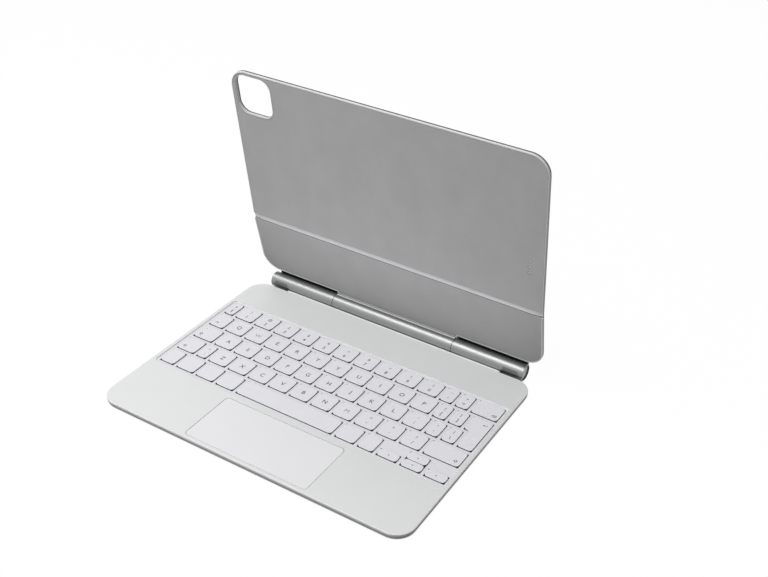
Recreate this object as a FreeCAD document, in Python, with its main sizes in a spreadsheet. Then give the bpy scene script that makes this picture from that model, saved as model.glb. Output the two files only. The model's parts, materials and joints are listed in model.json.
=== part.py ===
import FreeCAD, Part
import Sketcher
import math
import os

# Folding keyboard case for a slim tablet: a thin base with keyboard and trackpad, a hinge
# barrel along its rear edge, and a lid of two panels that bends at a crease.
# Millimetres. The origin is the centre of the base's underside, X runs to the right along the
# keys, Y runs from the front edge to the hinge, and Z runs up.

SIZES = (
    # base
    ("base_width", 250.0, "base, side to side"),
    ("base_depth", 182.4, "base, front edge to the rear edge that faces the barrel"),
    ("base_thickness", 4.6, "underside to deck top"),
    ("base_corner", 14.0, "plan radius of the base's corners"),
    ("rear_step", 1.6, "set-back of the rear edge outside the barrel tongue"),
    ("tongue_half", 96.0, "half width of the rear edge that reaches the barrel"),
    ("floor_thickness", 0.7, "lower cover under the frame"),
    ("cover_wall", 1.0, "side wall of the lower cover"),
    ("cover_chamfer", 0.9, "bevel of the lower cover's bottom edge"),
    ("deck_thickness", 0.7, "deck sheet"),
    ("deck_chamfer", 0.35, "bevel of the deck's top edge"),
    ("frame_play", 0.15, "gap between the frame and the lower cover's wall"),
    ("frame_floor", 0.6, "web left under the frame's pockets"),
    # keyboard well
    ("well_half", 121.9, "half width of the opening over the keys"),
    ("well_behind", 34.8, "back edge of the opening to the base's rear edge"),
    ("well_margin_back", 3.0, "back row to the back edge of the opening"),
    ("well_margin_front", 3.05, "front row to the front edge of the opening"),
    ("well_corner", 3.5, "corner radius of the opening"),
    ("web_lap", 0.8, "how far the key web reaches under the deck"),
    ("web_thickness", 0.6, "key web"),
    ("web_ledge", 1.6, "frame ledge that carries the key web"),
    ("seat_play", 0.1, "gap round a part in its pocket"),
    ("backplate_thickness", 0.8, "key backplate with its switch film"),
    # keys
    ("key_left", -118.9, "left edge of the key field"),
    ("key_right", 120.3, "right edge of the key field"),
    ("key_pitch", 18.27, "key spacing, both ways"),
    ("key_gap", 3.0, "gap between two caps"),
    ("slim_pitch", 12.62, "spacing of the slim keys at the right"),
    ("cap_thickness", 0.9, "key cap"),
    ("cap_corner", 1.3, "bevel that stands for a cap's rounded corner"),
    ("cap_proud", 0.05, "cap top above the deck"),
    ("cap_play", 0.3, "gap between a cap and the web"),
    ("split_gap", 0.4, "gap between the up and down keys"),
    ("section_width", 7.95, "first key of the back row"),
    ("tab_width", 12.8, "tab key"),
    ("lock_width", 17.4, "capitals lock key"),
    ("shift_width", 15.5, "left shift key"),
    ("grave_width", 8.25, "key beside the left shift"),
    ("corner_width", 12.2, "front left key"),
    ("space_width", 81.2, "space bar"),
    ("link_inset", 1.2, "scissor link inside the cap's outline"),
    ("link_bar", 0.55, "width of a scissor link's bar"),
    ("link_height", 0.5, "scissor link, folded"),
    ("dome_play", 0.2, "gap between a dome and the link of a half-height key"),
    ("dome_height", 0.55, "rubber dome, pressed"),
    # trackpad
    ("pad_width", 99.2, "trackpad plate"),
    ("pad_behind", 4.7, "trackpad to the front edge of the opening over the keys"),
    ("pad_front", 3.1, "front edge of the trackpad, from the base's front edge"),
    ("pad_corner", 2.6, "corner radius of the trackpad"),
    ("pad_play", 0.3, "gap round the trackpad"),
    ("pad_thickness", 1.1, "trackpad plate"),
    ("pad_sink", 0.05, "trackpad top below the deck"),
    ("pad_gap", 0.35, "free height under the trackpad"),
    ("pad_ledge", 2.0, "frame ledge under the trackpad's edge"),
    ("switch_size", 6.0, "trackpad switch"),
    ("switch_body", 0.7, "trackpad switch without its button"),
    # electronics
    ("board_width", 64.0, "controller board"),
    ("board_depth", 16.0, "controller board"),
    ("board_thickness", 1.0, "controller board"),
    ("board_behind", 15.9, "back edge of the board to the base's rear edge"),
    ("chip_size", 7.0, "chip on the board"),
    ("chip_height", 0.9, "chip above the board"),
    ("chip_spacing", 20.0, "chip spacing"),
    # barrel
    ("barrel_radius", 6.2, "hinge barrel, outside"),
    ("barrel_bore", 5.0, "hinge barrel, inside radius"),
    ("barrel_half", 113.8, "half length of the barrel with its end caps"),
    ("barrel_seam", 53.7, "seam between the middle and the end tubes"),
    ("seam_gap", 0.4, "running gap at a seam"),
    ("barrel_clear", 0.35, "gap between the base's rear edge and the barrel"),
    ("end_cap", 1.2, "end cap's flange"),
    ("end_chamfer", 0.5, "chamfer round the end cap"),
    ("spigot_length", 2.5, "end cap's spigot inside the tube"),
    ("plug_play", 0.08, "radial gap of what sits in the tube"),
    ("shaft_radius", 2.5, "hinge shaft"),
    ("shaft_inner", 30.0, "inner end of the hinge shaft"),
    ("anchor_gap", 1.0, "seam to the shaft's thick end"),
    ("anchor_length", 28.0, "shaft's thick end inside the end tube"),
    ("clip_length", 17.0, "friction clip on the shaft"),
    ("clip_start", 2.0, "inner end of the shaft to the clip"),
    ("rib_width", 1.6, "rib inside the middle tube that holds the clips"),
    ("rib_height", 1.4, "rib inside the middle tube"),
    ("clip_play", 0.05, "radial running gap of the clip on the shaft"),
    ("port_width", 8.9, "charging socket shell"),
    ("port_height", 3.2, "charging socket shell"),
    ("port_depth", 7.5, "charging socket shell"),
    ("port_wall", 0.3, "charging socket shell's wall"),
    ("port_tongue", 0.7, "thickness of the socket's tongue"),
    ("port_sink", 1.0, "socket's mouth to its tongue"),
    ("port_corner", 1.0, "bevel of the socket's corners"),
    # hinge brackets in the base
    ("bracket_inner", 62.0, "inner edge of a bracket"),
    ("bracket_width", 30.0, "bracket"),
    ("bracket_depth", 22.0, "bracket's plate, front to the base's rear edge"),
    ("bracket_thickness", 1.5, "bracket"),
    ("bracket_floor", 1.7, "height of the bracket's seat"),
    ("bracket_reach", 3.4, "how far the bracket's lip goes into the tube's slot"),
    ("screw_radius", 0.7, "bracket screw's shank"),
    ("screw_head", 1.4, "bracket screw's head radius"),
    ("screw_head_height", 0.45, "bracket screw's head"),
    ("screw_depth", 0.8, "bracket screw below the bracket"),
    ("screw_play", 0.05, "gap round a screw's shank"),
    ("screw_inset", 6.0, "screw to the bracket's end"),
    ("screw_setback", 7.3, "screws to the bracket's front edge"),
    # lid
    ("lid_width", 250.0, "lid panels, side to side"),
    ("lid_corner", 14.0, "plan radius of the lid's corners"),
    ("lid_bite", 1.6, "inner face inside the barrel's rear line"),
    ("lid_thickness", 3.2, "lid panel"),
    ("lid_clear", 0.7, "barrel to the lid's lower edge, along the lid"),
    ("crease_low", 58.3, "lower side of the crease, along the lid from the hinge axis"),
    ("crease_gap", 4.4, "clear width of the crease"),
    ("lid_top", 189.0, "top edge, along the flat lid from the hinge axis"),
    ("lid_lean", 13.2, "lower panel's forward lean from upright, degrees"),
    ("upper_lean", 8.6, "upper panel's forward lean from upright, degrees"),
    ("liner_thickness", 0.7, "soft inner lining"),
    ("shell_thickness", 0.7, "outer cover of a panel"),
    ("rim_width", 1.0, "rim of the outer cover round the lining"),
    ("rim_proud", 0.1, "rim above the lining"),
    ("rim_fillet", 0.4, "rounding of the rim's inner side"),
    ("back_chamfer", 0.8, "bevel of the outer cover's back edge"),
    ("hinge_rim", 0.8, "rim at the barrel's edge"),
    ("core_play", 0.1, "gap round a core board"),
    ("flap_low", 0.6, "lower end of the skirt behind the barrel, from the hinge axis"),
    ("flap_half", 112.5, "half width of that skirt"),
    ("flap_core", 0.5, "core board's thickness in the skirt"),
    ("flap_edge", 0.6, "skirt's cover beyond its core board"),
    ("flap_lap", 2.0, "lap of the skirt's cover on the panel's cover"),
    ("tongue_clear", 0.2, "middle tongue to the barrel"),
    ("tongue_over", 0.6, "middle tongue beyond the middle tube, each side"),
    ("strip_rise", 1.1, "crease strip below the lining"),
    ("strip_thickness", 2.0, "crease strip"),
    ("strip_play", 0.2, "gap beside the crease strip"),
    ("tang_half", 50.0, "half width of the middle tube's tang"),
    ("tang_high", 16.0, "upper end of the tang"),
    ("tang_thickness", 0.75, "tang"),
    ("tang_low", 2.0, "lower end of the tang, from the hinge axis"),
    ("tang_sink", 0.1, "tang's back face inside the tube's outline"),
    ("plate_high", 32.0, "upper end of the lid bracket"),
    ("plate_cover", 0.85, "core board left over the lid bracket"),
    # camera window
    ("window_width", 30.6, "camera window"),
    ("window_height", 31.0, "camera window"),
    ("window_corner", 8.6, "camera window's corner radius"),
    ("window_side", 4.0, "camera window to the lid's left edge"),
    ("window_top", 2.9, "camera window to the lid's top edge"),
    ("window_rim", 1.0, "rim round the camera window"),
    # contacts and magnets
    ("pin_x", 113.5, "contact pins, from the middle"),
    ("pin_rise", 41.0, "middle contact pin above the crease"),
    ("pin_pitch", 4.8, "contact pin spacing"),
    ("pin_radius", 1.2, "contact pin"),
    ("pin_play", 0.2, "gap round a contact pin"),
    ("magnet_length", 20.0, "tablet magnet"),
    ("magnet_width", 4.0, "tablet magnet"),
    ("magnet_web", 0.5, "core board left under a magnet"),
    ("magnet_pitch", 48.0, "magnet columns"),
    ("magnet_low", 14.0, "lower magnet row above the crease"),
    ("magnet_high", 108.0, "upper magnet row above the crease"),
)

doc = FreeCAD.newDocument("KeyboardCase")
sheet = doc.addObject("Spreadsheet::Sheet", "Dims")
for row, (alias, number, note) in enumerate(SIZES, start=1):
    sheet.set("A%d" % row, alias)
    sheet.set("B%d" % row, repr(number))
    sheet.setAlias("B%d" % row, alias)
    sheet.set("C%d" % row, note)
doc.recompute()


class Dim:
    """A size as a formula on the sheet, with its present value beside it."""

    def __init__(self, text, value):
        self.text = text
        self.value = float(value)

    def __add__(self, other):
        other = dim(other)
        return Dim("(%s + %s)" % (self.text, other.text), self.value + other.value)

    def __sub__(self, other):
        other = dim(other)
        return Dim("(%s - %s)" % (self.text, other.text), self.value - other.value)

    def __mul__(self, other):
        other = dim(other)
        return Dim("%s * %s" % (self.text, other.text), self.value * other.value)

    def __truediv__(self, other):
        other = dim(other)
        return Dim("%s / %s" % (self.text, other.text), self.value / other.value)

    def __neg__(self):
        return Dim("(0 - %s)" % self.text, -self.value)


def dim(value):
    """A Dim from a Dim, a sheet alias or a plain number."""
    if isinstance(value, Dim):
        return value
    if isinstance(value, str):
        return Dim("Dims." + value, TABLE[value])
    return Dim(repr(float(value)), value)


TABLE = {alias: number for alias, number, note in SIZES}
d = dim

# How far a cutter runs past what it cuts, and the sides of a small round piece.
OVER = dim(1)
SMALL_SIDES = 8


def root(value):
    """Square root of a Dim."""
    return Dim("sqrt(%s)" % value.text, math.sqrt(value.value))


def bind(target, path, size):
    """Sets a property to a Dim's value and ties it to the sheet."""
    target.setExpression(path, dim(size).text)


# ---------------------------------------------------------------- building blocks

PARTS = {}


def keep(name, thing):
    """Marks an object as a finished piece under its own name."""
    thing.Label = name
    PARTS[name] = thing
    return thing


def new_body(name, x=0, y=0, z=0, tilt=None):
    """A PartDesign body, moved to x, y, z and turned about X by tilt degrees."""
    body = doc.addObject("PartDesign::Body", name)
    body.Placement = FreeCAD.Placement(
        FreeCAD.Vector(dim(x).value, dim(y).value, dim(z).value),
        FreeCAD.Rotation(FreeCAD.Vector(1, 0, 0), dim(tilt).value if tilt is not None else 0.0),
    )
    for axis, size in (("x", x), ("y", y), ("z", z)):
        bind(body, "Placement.Base." + axis, size)
    if tilt is not None:
        bind(body, "Placement.Rotation.Angle", tilt)
    return body


def new_sketch(body, role="XY_Plane", height=0):
    """A sketch on one of the body's own origin planes, raised by height."""
    plane = [item for item in body.Origin.OriginFeatures if item.Role == role][0]
    sketch = body.newObject("Sketcher::SketchObject", body.Name + "_sketch")
    sketch.AttachmentSupport = [(plane, "")]
    sketch.MapMode = "FlatFace"
    sketch.AttachmentOffset = FreeCAD.Placement(
        FreeCAD.Vector(0, 0, dim(height).value), FreeCAD.Rotation()
    )
    bind(sketch, "AttachmentOffset.Base.z", height)
    return sketch


def add_rule(sketch, rules, size, *arguments):
    """Queues a driving constraint and its formula."""
    rules.append((Sketcher.Constraint(*arguments, dim(size).value), dim(size)))


def draw_box(sketch, left, front, right, back, corner=None, rounded=(1, 1, 1, 1)):
    """Draws a rectangle whose corners may be rounded.

    The corners run front left, front right, back right, back left.
    """
    left, front, right, back = dim(left), dim(front), dim(right), dim(back)
    vector = FreeCAD.Vector
    radius = dim(corner).value if corner is not None else 0.0
    turns = [radius if flag and corner is not None else 0.0 for flag in rounded]
    points = [
        (left.value, front.value),
        (right.value, front.value),
        (right.value, back.value),
        (left.value, back.value),
    ]
    ways = [(1, 0), (0, 1), (-1, 0), (0, -1)]
    first = sketch.GeometryCount
    shapes = []
    for index in range(4):
        start, end = points[index], points[(index + 1) % 4]
        way = ways[index]
        begin, finish = turns[index], turns[(index + 1) % 4]
        shapes.append(
            Part.LineSegment(
                vector(start[0] + way[0] * begin, start[1] + way[1] * begin, 0),
                vector(end[0] - way[0] * finish, end[1] - way[1] * finish, 0),
            )
        )
    arcs = {}
    for index in range(4):
        if not turns[index]:
            continue
        arcs[index] = first + 4 + len(arcs)
        x, y = points[index]
        after = ways[index]
        before = ways[index - 1]
        centre = vector(x + (after[0] - before[0]) * radius, y + (after[1] - before[1]) * radius, 0)
        angle = math.pi + index * math.pi / 2
        circle = Part.Circle(centre, vector(0, 0, 1), radius)
        shapes.append(Part.ArcOfCircle(circle, angle, angle + math.pi / 2))
    sketch.addGeometry(shapes, False)
    rules = []
    for index in range(4):
        line = first + index
        rules.append((Sketcher.Constraint("Horizontal" if index % 2 == 0 else "Vertical", line), None))
        previous = first + (index - 1) % 4
        if index in arcs:
            rules.append((Sketcher.Constraint("Tangent", previous, 2, arcs[index], 1), None))
            rules.append((Sketcher.Constraint("Tangent", arcs[index], 2, line, 1), None))
        else:
            rules.append((Sketcher.Constraint("Coincident", previous, 2, line, 1), None))
    for arc in list(arcs.values()):
        add_rule(sketch, rules, corner, "Radius", arc)
    add_rule(sketch, rules, left, "DistanceX", -1, 1, first + 3, 1)
    add_rule(sketch, rules, right, "DistanceX", -1, 1, first + 1, 1)
    add_rule(sketch, rules, front, "DistanceY", -1, 1, first, 1)
    add_rule(sketch, rules, back, "DistanceY", -1, 1, first + 2, 1)
    place_rules(sketch, rules)


def draw_polygon(sketch, x, y, radius):
    """Draws a small round as a regular polygon inside its circle."""
    x, y, radius = dim(x), dim(y), dim(radius)
    first = sketch.GeometryCount
    step = 2 * math.pi / SMALL_SIDES
    corners = [
        FreeCAD.Vector(
            x.value + radius.value * math.cos(step * index),
            y.value + radius.value * math.sin(step * index),
            0,
        )
        for index in range(SMALL_SIDES)
    ]
    sides = [Part.LineSegment(corners[index - 1], corners[index]) for index in range(SMALL_SIDES)]
    sketch.addGeometry(sides, False)
    ring = sketch.GeometryCount
    centre = FreeCAD.Vector(x.value, y.value, 0)
    sketch.addGeometry(Part.Circle(centre, FreeCAD.Vector(0, 0, 1), radius.value), True)
    rules = []
    for index in range(SMALL_SIDES):
        after = first + (index + 1) % SMALL_SIDES
        rules.append((Sketcher.Constraint("Coincident", first + index, 2, after, 1), None))
        rules.append((Sketcher.Constraint("PointOnObject", first + index, 2, ring), None))
        if index:
            rules.append((Sketcher.Constraint("Equal", first, first + index), None))
    rules.append((Sketcher.Constraint("Horizontal", first, 2, ring, 3), None))
    add_rule(sketch, rules, radius, "Radius", ring)
    add_rule(sketch, rules, x, "DistanceX", -1, 1, ring, 3)
    add_rule(sketch, rules, y, "DistanceY", -1, 1, ring, 3)
    place_rules(sketch, rules)


def place_rules(sketch, rules):
    """Adds queued constraints and ties the driving ones to the sheet."""
    count = sketch.ConstraintCount
    sketch.addConstraint([rule for rule, size in rules])
    for index, (rule, size) in enumerate(rules):
        if size is not None:
            sketch.setExpression("Constraints[%d]" % (count + index), size.text)


def draw_circle(sketch, x, y, radius):
    """Draws a circle with its place and radius tied to the sheet."""
    x, y, radius = dim(x), dim(y), dim(radius)
    index = sketch.GeometryCount
    centre = FreeCAD.Vector(x.value, y.value, 0)
    sketch.addGeometry(Part.Circle(centre, FreeCAD.Vector(0, 0, 1), radius.value), False)
    rules = []
    add_rule(sketch, rules, radius, "Radius", index)
    add_rule(sketch, rules, x, "DistanceX", -1, 1, index, 3)
    add_rule(sketch, rules, y, "DistanceY", -1, 1, index, 3)
    place_rules(sketch, rules)


def pad(body, sketch, length):
    """Pads a sketch along its normal."""
    feature = body.newObject("PartDesign::Pad", body.Name + "_pad")
    feature.Profile = sketch
    feature.Length = dim(length).value
    bind(feature, "Length", length)
    doc.recompute()
    return feature


def pocket(body, sketch, depth):
    """Cuts a sketch upwards from its plane, and checks that it cut something."""
    before = body.Shape.Volume
    feature = body.newObject("PartDesign::Pocket", body.Name + "_pocket")
    feature.Profile = sketch
    feature.Reversed = True
    feature.Length = dim(depth).value
    bind(feature, "Length", depth)
    doc.recompute()
    if feature.Shape.isNull() or feature.Shape.Volume > before - 1e-6:
        raise RuntimeError("%s cuts nothing" % feature.Name)
    return feature


def round_edges(body, kind, size, wanted):
    """Fillets or chamfers the tip's edges for which wanted(edge) is true."""
    base = body.Tip
    names = [
        "Edge%d" % number
        for number, edge in enumerate(base.Shape.Edges, start=1)
        if wanted(edge)
    ]
    feature = body.newObject("PartDesign::" + kind, body.Name + "_" + kind.lower())
    feature.Base = (base, names)
    prop = "Radius" if kind == "Fillet" else "Size"
    setattr(feature, prop, dim(size).value)
    bind(feature, prop, size)
    doc.recompute()
    return feature


def level(height):
    """A test for edges that lie flat at one height of the body's own frame."""
    def wanted(edge):
        box = edge.BoundBox
        return abs(box.ZMin - height) < 1e-4 and abs(box.ZMax - height) < 1e-4
    return wanted


def upright(edge):
    """A test for edges that stand along the body's own Z."""
    box = edge.BoundBox
    return box.XLength < 1e-4 and box.YLength < 1e-4


def add_block(name, left, front, low, right, back, high):
    """A Part box between two corners."""
    box = doc.addObject("Part::Box", name)
    for prop, small, large in (("Length", left, right), ("Width", front, back), ("Height", low, high)):
        bind(box, prop, dim(large) - dim(small))
    for axis, size in (("x", left), ("y", front), ("z", low)):
        bind(box, "Placement.Base." + axis, size)
    return box


def add_tube(name, start, end, radius, y=0, z=0):
    """A solid cylinder along X between two stations."""
    rod = doc.addObject("Part::Cylinder", name)
    turn = FreeCAD.Rotation(FreeCAD.Vector(0, 1, 0), 90)
    rod.Placement = FreeCAD.Placement(FreeCAD.Vector(0, 0, 0), turn)
    bind(rod, "Radius", radius)
    bind(rod, "Height", dim(end) - dim(start))
    for axis, size in (("x", start), ("y", y), ("z", z)):
        bind(rod, "Placement.Base." + axis, size)
    return rod


def join(name, pieces):
    """One solid from several."""
    fusion = doc.addObject("Part::MultiFuse", name)
    fusion.Shapes = pieces
    return fusion


def cut(name, base, tool):
    """Base less tool."""
    result = doc.addObject("Part::Cut", name)
    result.Base = base
    result.Tool = tool
    return result


def group(name, pieces):
    """Separate solids under one name."""
    compound = doc.addObject("Part::Compound", name)
    compound.Links = pieces
    return compound


# ---------------------------------------------------------------- shared heights and places

half_width = d("base_width") / 2
front_edge = -(d("base_depth") / 2)
rear_edge = d("base_depth") / 2
deck_top = d("base_thickness")
deck_low = deck_top - "deck_thickness"
frame_low = d("floor_thickness")
pocket_floor = frame_low + "frame_floor"
cap_top = deck_top + "cap_proud"
cap_low = cap_top - "cap_thickness"
cap_size = d("key_pitch") - "key_gap"
slim_size = d("slim_pitch") - "key_gap"
web_low = deck_low - "web_thickness"
backplate_top = pocket_floor + "backplate_thickness"
pad_top = deck_top - "pad_sink"
pad_low = pad_top - "pad_thickness"
pad_seat = pad_low - "pad_gap"
axis_z = d("barrel_radius")
axis_drop = axis_z - deck_top
contact_run = root(d("barrel_radius") * "barrel_radius" - axis_drop * axis_drop)
axis_y = rear_edge + "barrel_clear" + contact_run
well_high = rear_edge - "well_behind"
first_row = well_high - "well_margin_back" - cap_size - d("key_pitch") * 4
well_low = first_row - "well_margin_front"


def base_outline(body, inset, height, length):
    """Pads the base's plan shape, inset all round, with its tongue to the barrel."""
    side = half_width - inset
    sketch = new_sketch(body, height=height)
    draw_box(sketch, -side, front_edge + inset, side, rear_edge - "rear_step" - inset,
             d("base_corner") - inset)
    pad(body, sketch, length)
    tongue = new_sketch(body, height=height)
    half = d("tongue_half") - inset
    draw_box(tongue, -half, rear_edge - "rear_step" - "base_corner", half, rear_edge - inset)
    pad(body, tongue, length)


def cut_box(body, low, depth, left, front, right, back, corner=None, rounded=(1, 1, 1, 1)):
    """Cuts a box whose floor is at low."""
    sketch = new_sketch(body, height=low)
    draw_box(sketch, left, front, right, back, corner, rounded)
    pocket(body, sketch, depth)


# ---------------------------------------------------------------- base covers and frame

bracket_left = (-(d("bracket_inner") + "bracket_width"), -d("bracket_inner"))
bracket_right = (d("bracket_inner"), d("bracket_inner") + "bracket_width")
bracket_top = d("bracket_floor") + "bracket_thickness"
bracket_front = rear_edge - "bracket_depth"
frame_inset = d("cover_wall") + "frame_play"

base_skin = new_body("base_skin")
base_outline(base_skin, dim(0), 0, deck_low)
hollow = new_sketch(base_skin, height="floor_thickness")
wall_side = half_width - "cover_wall"
draw_box(hollow, -wall_side, front_edge + "cover_wall", wall_side,
         rear_edge - "rear_step" - "cover_wall", d("base_corner") - "cover_wall")
pocket(base_skin, hollow, deck_low)
cut_box(base_skin, "floor_thickness", deck_low, -(d("tongue_half") - "cover_wall"),
        rear_edge - "rear_step" - "base_corner", d("tongue_half") - "cover_wall",
        rear_edge - "cover_wall")
for left, right in (bracket_left, bracket_right):
    cut_box(base_skin, d("bracket_floor") - "seat_play", d("bracket_thickness") + "seat_play" + "seat_play",
            left - "seat_play", rear_edge - d("cover_wall") - OVER, right + "seat_play", rear_edge + OVER)
round_edges(base_skin, "Chamfer", "cover_chamfer", level(0.0))
keep("base_skin", base_skin)

base_frame = new_body("base_frame")
base_outline(base_frame, frame_inset, "floor_thickness", deck_low - "floor_thickness")
web_side = d("well_half") + "web_lap"
ledge_side = web_side - "web_ledge"
cut_box(base_frame, web_low, "deck_thickness", -(web_side + "seat_play"),
        well_low - "web_lap" - "seat_play", web_side + "seat_play", well_high + "web_lap" + "seat_play")
cut_box(base_frame, pocket_floor, deck_low, -ledge_side, well_low - "web_lap" + "web_ledge",
        ledge_side, well_high + "web_lap" - "web_ledge")
pad_half = d("pad_width") / 2
pad_low_y = front_edge + "pad_front"
pad_high_y = well_low - "pad_behind"
pad_depth = pad_high_y - pad_low_y
cut_box(base_frame, pad_seat, deck_low, -(pad_half + "pad_play"), pad_low_y - "pad_play",
        pad_half + "pad_play", pad_high_y + "pad_play")
cut_box(base_frame, pocket_floor, deck_low, -(pad_half - "pad_ledge"), pad_low_y + "pad_ledge",
        pad_half - "pad_ledge", pad_high_y - "pad_ledge")
board_half = d("board_width") / 2
board_high = rear_edge - "board_behind"
board_low = board_high - "board_depth"
cut_box(base_frame, pocket_floor, deck_low, -(board_half + "seat_play"), board_low - "seat_play",
        board_half + "seat_play", board_high + "seat_play")
for left, right in (bracket_left, bracket_right):
    cut_box(base_frame, "bracket_floor", deck_low, left - "seat_play", bracket_front - "seat_play",
            right + "seat_play", rear_edge + OVER)
screw_holes = new_sketch(base_frame, height=d("bracket_floor") - "screw_depth")
screw_y = bracket_front + "screw_setback"
for left, right in (bracket_left, bracket_right):
    for place in (left + "screw_inset", right - "screw_inset"):
        draw_polygon(screw_holes, place, screw_y, d("screw_radius") + "screw_play")
pocket(base_frame, screw_holes, deck_low)
keep("base_frame", base_frame)

deck_skin = new_body("deck_skin")
base_outline(deck_skin, dim(0), deck_low, "deck_thickness")
round_edges(deck_skin, "Chamfer", "deck_chamfer", level(deck_top.value))
cut_box(deck_skin, deck_low - OVER, d("deck_thickness") + OVER * 2, -d("well_half"), well_low, "well_half",
        well_high, "well_corner")
cut_box(deck_skin, deck_low - OVER, d("deck_thickness") + OVER * 2, -(pad_half + "pad_play"),
        pad_low_y - "pad_play", pad_half + "pad_play", pad_high_y + "pad_play",
        d("pad_corner") + "pad_play")
keep("deck_skin", deck_skin)

# ---------------------------------------------------------------- keys

LETTERS = ("qwertyuiop", "asdfghjkl", "zxcvbnm")
row_front = [first_row + d("key_pitch") * index for index in range(5)]
half_cap = (cap_size - "split_gap") / 2
dome_radius = half_cap / 2 - "link_inset" - "link_bar" - "dome_play"

KEYS = []


def lay(piece, left, right, front, back):
    """Notes one key's place."""
    KEYS.append((piece, left, right, front, back))


def lay_row(index, first_width, pieces, slim_pieces, last_piece):
    """Lays a full-height row: a first key, pitched keys, slim keys and one that fills up."""
    front = row_front[index]
    back = front + cap_size
    left = d("key_left")
    lay(first_width[0], left, left + first_width[1], front, back)
    left = left + first_width[1] + "key_gap"
    for piece in pieces:
        lay(piece, left, left + cap_size, front, back)
        left = left + "key_pitch"
    for piece in slim_pieces:
        lay(piece, left, left + slim_size, front, back)
        left = left + "slim_pitch"
    if last_piece:
        lay(last_piece, left, d("key_right"), front, back)
    return left


def letter_keys(letters):
    """Names of single letter keys."""
    return ["key_" + letter for letter in letters]


lay_row(4, ("number_row_keys", "section_width"), ["number_row_keys"] * 10, ["number_row_keys"] * 2,
        "number_row_keys")
enter_upper = lay_row(3, ("modifier_keys", "tab_width"), letter_keys(LETTERS[0]),
                      ["punctuation_keys"] * 2, None)
enter_lower = lay_row(2, ("modifier_keys", "lock_width"),
                      letter_keys(LETTERS[1]) + ["punctuation_keys"], ["punctuation_keys"] * 2, None)

front = row_front[1]
left = d("key_left")
lay("modifier_keys", left, left + "shift_width", front, front + cap_size)
left = left + "shift_width" + "key_gap"
lay("punctuation_keys", left, left + "grave_width", front, front + cap_size)
left = left + "grave_width" + "key_gap"
for piece in letter_keys(LETTERS[2]) + ["punctuation_keys"] * 3:
    lay(piece, left, left + cap_size, front, front + cap_size)
    left = left + "key_pitch"
lay("modifier_keys", left, d("key_right"), front, front + cap_size)

front = row_front[0]
back = front + cap_size
left = d("key_left")
lay("modifier_keys", left, left + "corner_width", front, back)
left = left + "corner_width" + "key_gap"
for count in range(3):
    lay("modifier_keys", left, left + cap_size, front, back)
    left = left + "key_pitch"
lay("space_bar", left, left + "space_width", front, back)
left = left + "space_width" + "key_gap"
lay("modifier_keys", left, left + cap_size, front, back)
left = left + "key_pitch"
arrow_left = d("key_right") - cap_size - "key_pitch" - "key_pitch"
lay("modifier_keys", left, arrow_left - "key_gap", front, back)
for count in range(3):
    place = arrow_left + d("key_pitch") * count
    lay("arrow_keys", place, place + cap_size, front, front + half_cap)
place = arrow_left + "key_pitch"
lay("arrow_keys", place, place + cap_size, back - half_cap, back)

cap_bodies = {}
holes = []
links = []
link_holes = []
domes = []


def add_under(number, left, right, front, back):
    """The scissor link and the rubber dome under one key."""
    inset = d("link_inset")
    links.append(add_block("link_outer_%d" % number, left + inset, front + inset, backplate_top,
                           right - inset, back - inset, backplate_top + "link_height"))
    inset = inset + "link_bar"
    link_holes.append(add_block("link_inner_%d" % number, left + inset, front + inset,
                                backplate_top - OVER, right - inset, back - inset, deck_top))
    dome = doc.addObject("Part::Prism", "dome_%d" % number)
    dome.Polygon = 6
    bind(dome, "Circumradius", dome_radius)
    bind(dome, "Height", "dome_height")
    bind(dome, "Placement.Base.x", (left + right) / 2)
    bind(dome, "Placement.Base.y", (front + back) / 2)
    bind(dome, "Placement.Base.z", backplate_top)
    domes.append(dome)


def add_hole(left, right, front, back):
    """The web's opening round one key."""
    play = d("cap_play")
    holes.append(add_block("hole_%d" % len(holes), left - play, front - play, web_low - OVER,
                           right + play, back + play, deck_top))


for number, (piece, left, right, front, back) in enumerate(KEYS):
    cap = new_body("cap_%d" % number, left, front, cap_low)
    sketch = new_sketch(cap)
    draw_box(sketch, 0, 0, right - left, back - front)
    pad(cap, sketch, "cap_thickness")
    round_edges(cap, "Chamfer", "cap_corner", upright)
    cap_bodies.setdefault(piece, []).append(cap)
    add_hole(left, right, front, back)
    add_under(number, left, right, front, back)

enter = new_body("enter_key", enter_upper, row_front[2], cap_low)
enter_right = d("key_right") - enter_upper
sketch = new_sketch(enter)
draw_box(sketch, 0, "key_pitch", enter_right, d("key_pitch") + cap_size)
pad(enter, sketch, "cap_thickness")
sketch = new_sketch(enter)
enter_inner = enter_lower - enter_upper
draw_box(sketch, enter_inner, 0, enter_right, d("key_pitch") + cap_size)
pad(enter, sketch, "cap_thickness")


def outer_corner(edge):
    """A test for every upright edge of the enter key but the one inside its bend."""
    box = edge.BoundBox
    bend = abs(box.XMin - enter_inner.value) + abs(box.YMin - d("key_pitch").value)
    return upright(edge) and bend > 1e-3


round_edges(enter, "Chamfer", "cap_corner", outer_corner)
keep("enter_key", enter)
add_hole(enter_upper, d("key_right"), row_front[3], row_front[3] + cap_size)
add_hole(enter_lower, d("key_right"), row_front[2], row_front[3] + cap_size)
add_under(len(KEYS), enter_lower, d("key_right"), row_front[2], row_front[2] + cap_size)
add_under(len(KEYS) + 1, enter_upper, d("key_right"), row_front[3], row_front[3] + cap_size)

for piece, bodies in cap_bodies.items():
    keep(piece, bodies[0] if len(bodies) == 1 else group(piece, bodies))

web_blank = new_body("web_blank")
sketch = new_sketch(web_blank, height=web_low)
draw_box(sketch, -web_side, well_low - "web_lap", web_side, well_high + "web_lap")
pad(web_blank, sketch, "web_thickness")
keep("key_web", cut("key_web", web_blank, group("web_holes", holes)))
keep("scissor_links", cut("scissor_links", group("links_outer", links), group("links_inner", link_holes)))
keep("rubber_domes", group("rubber_domes", domes))

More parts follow.
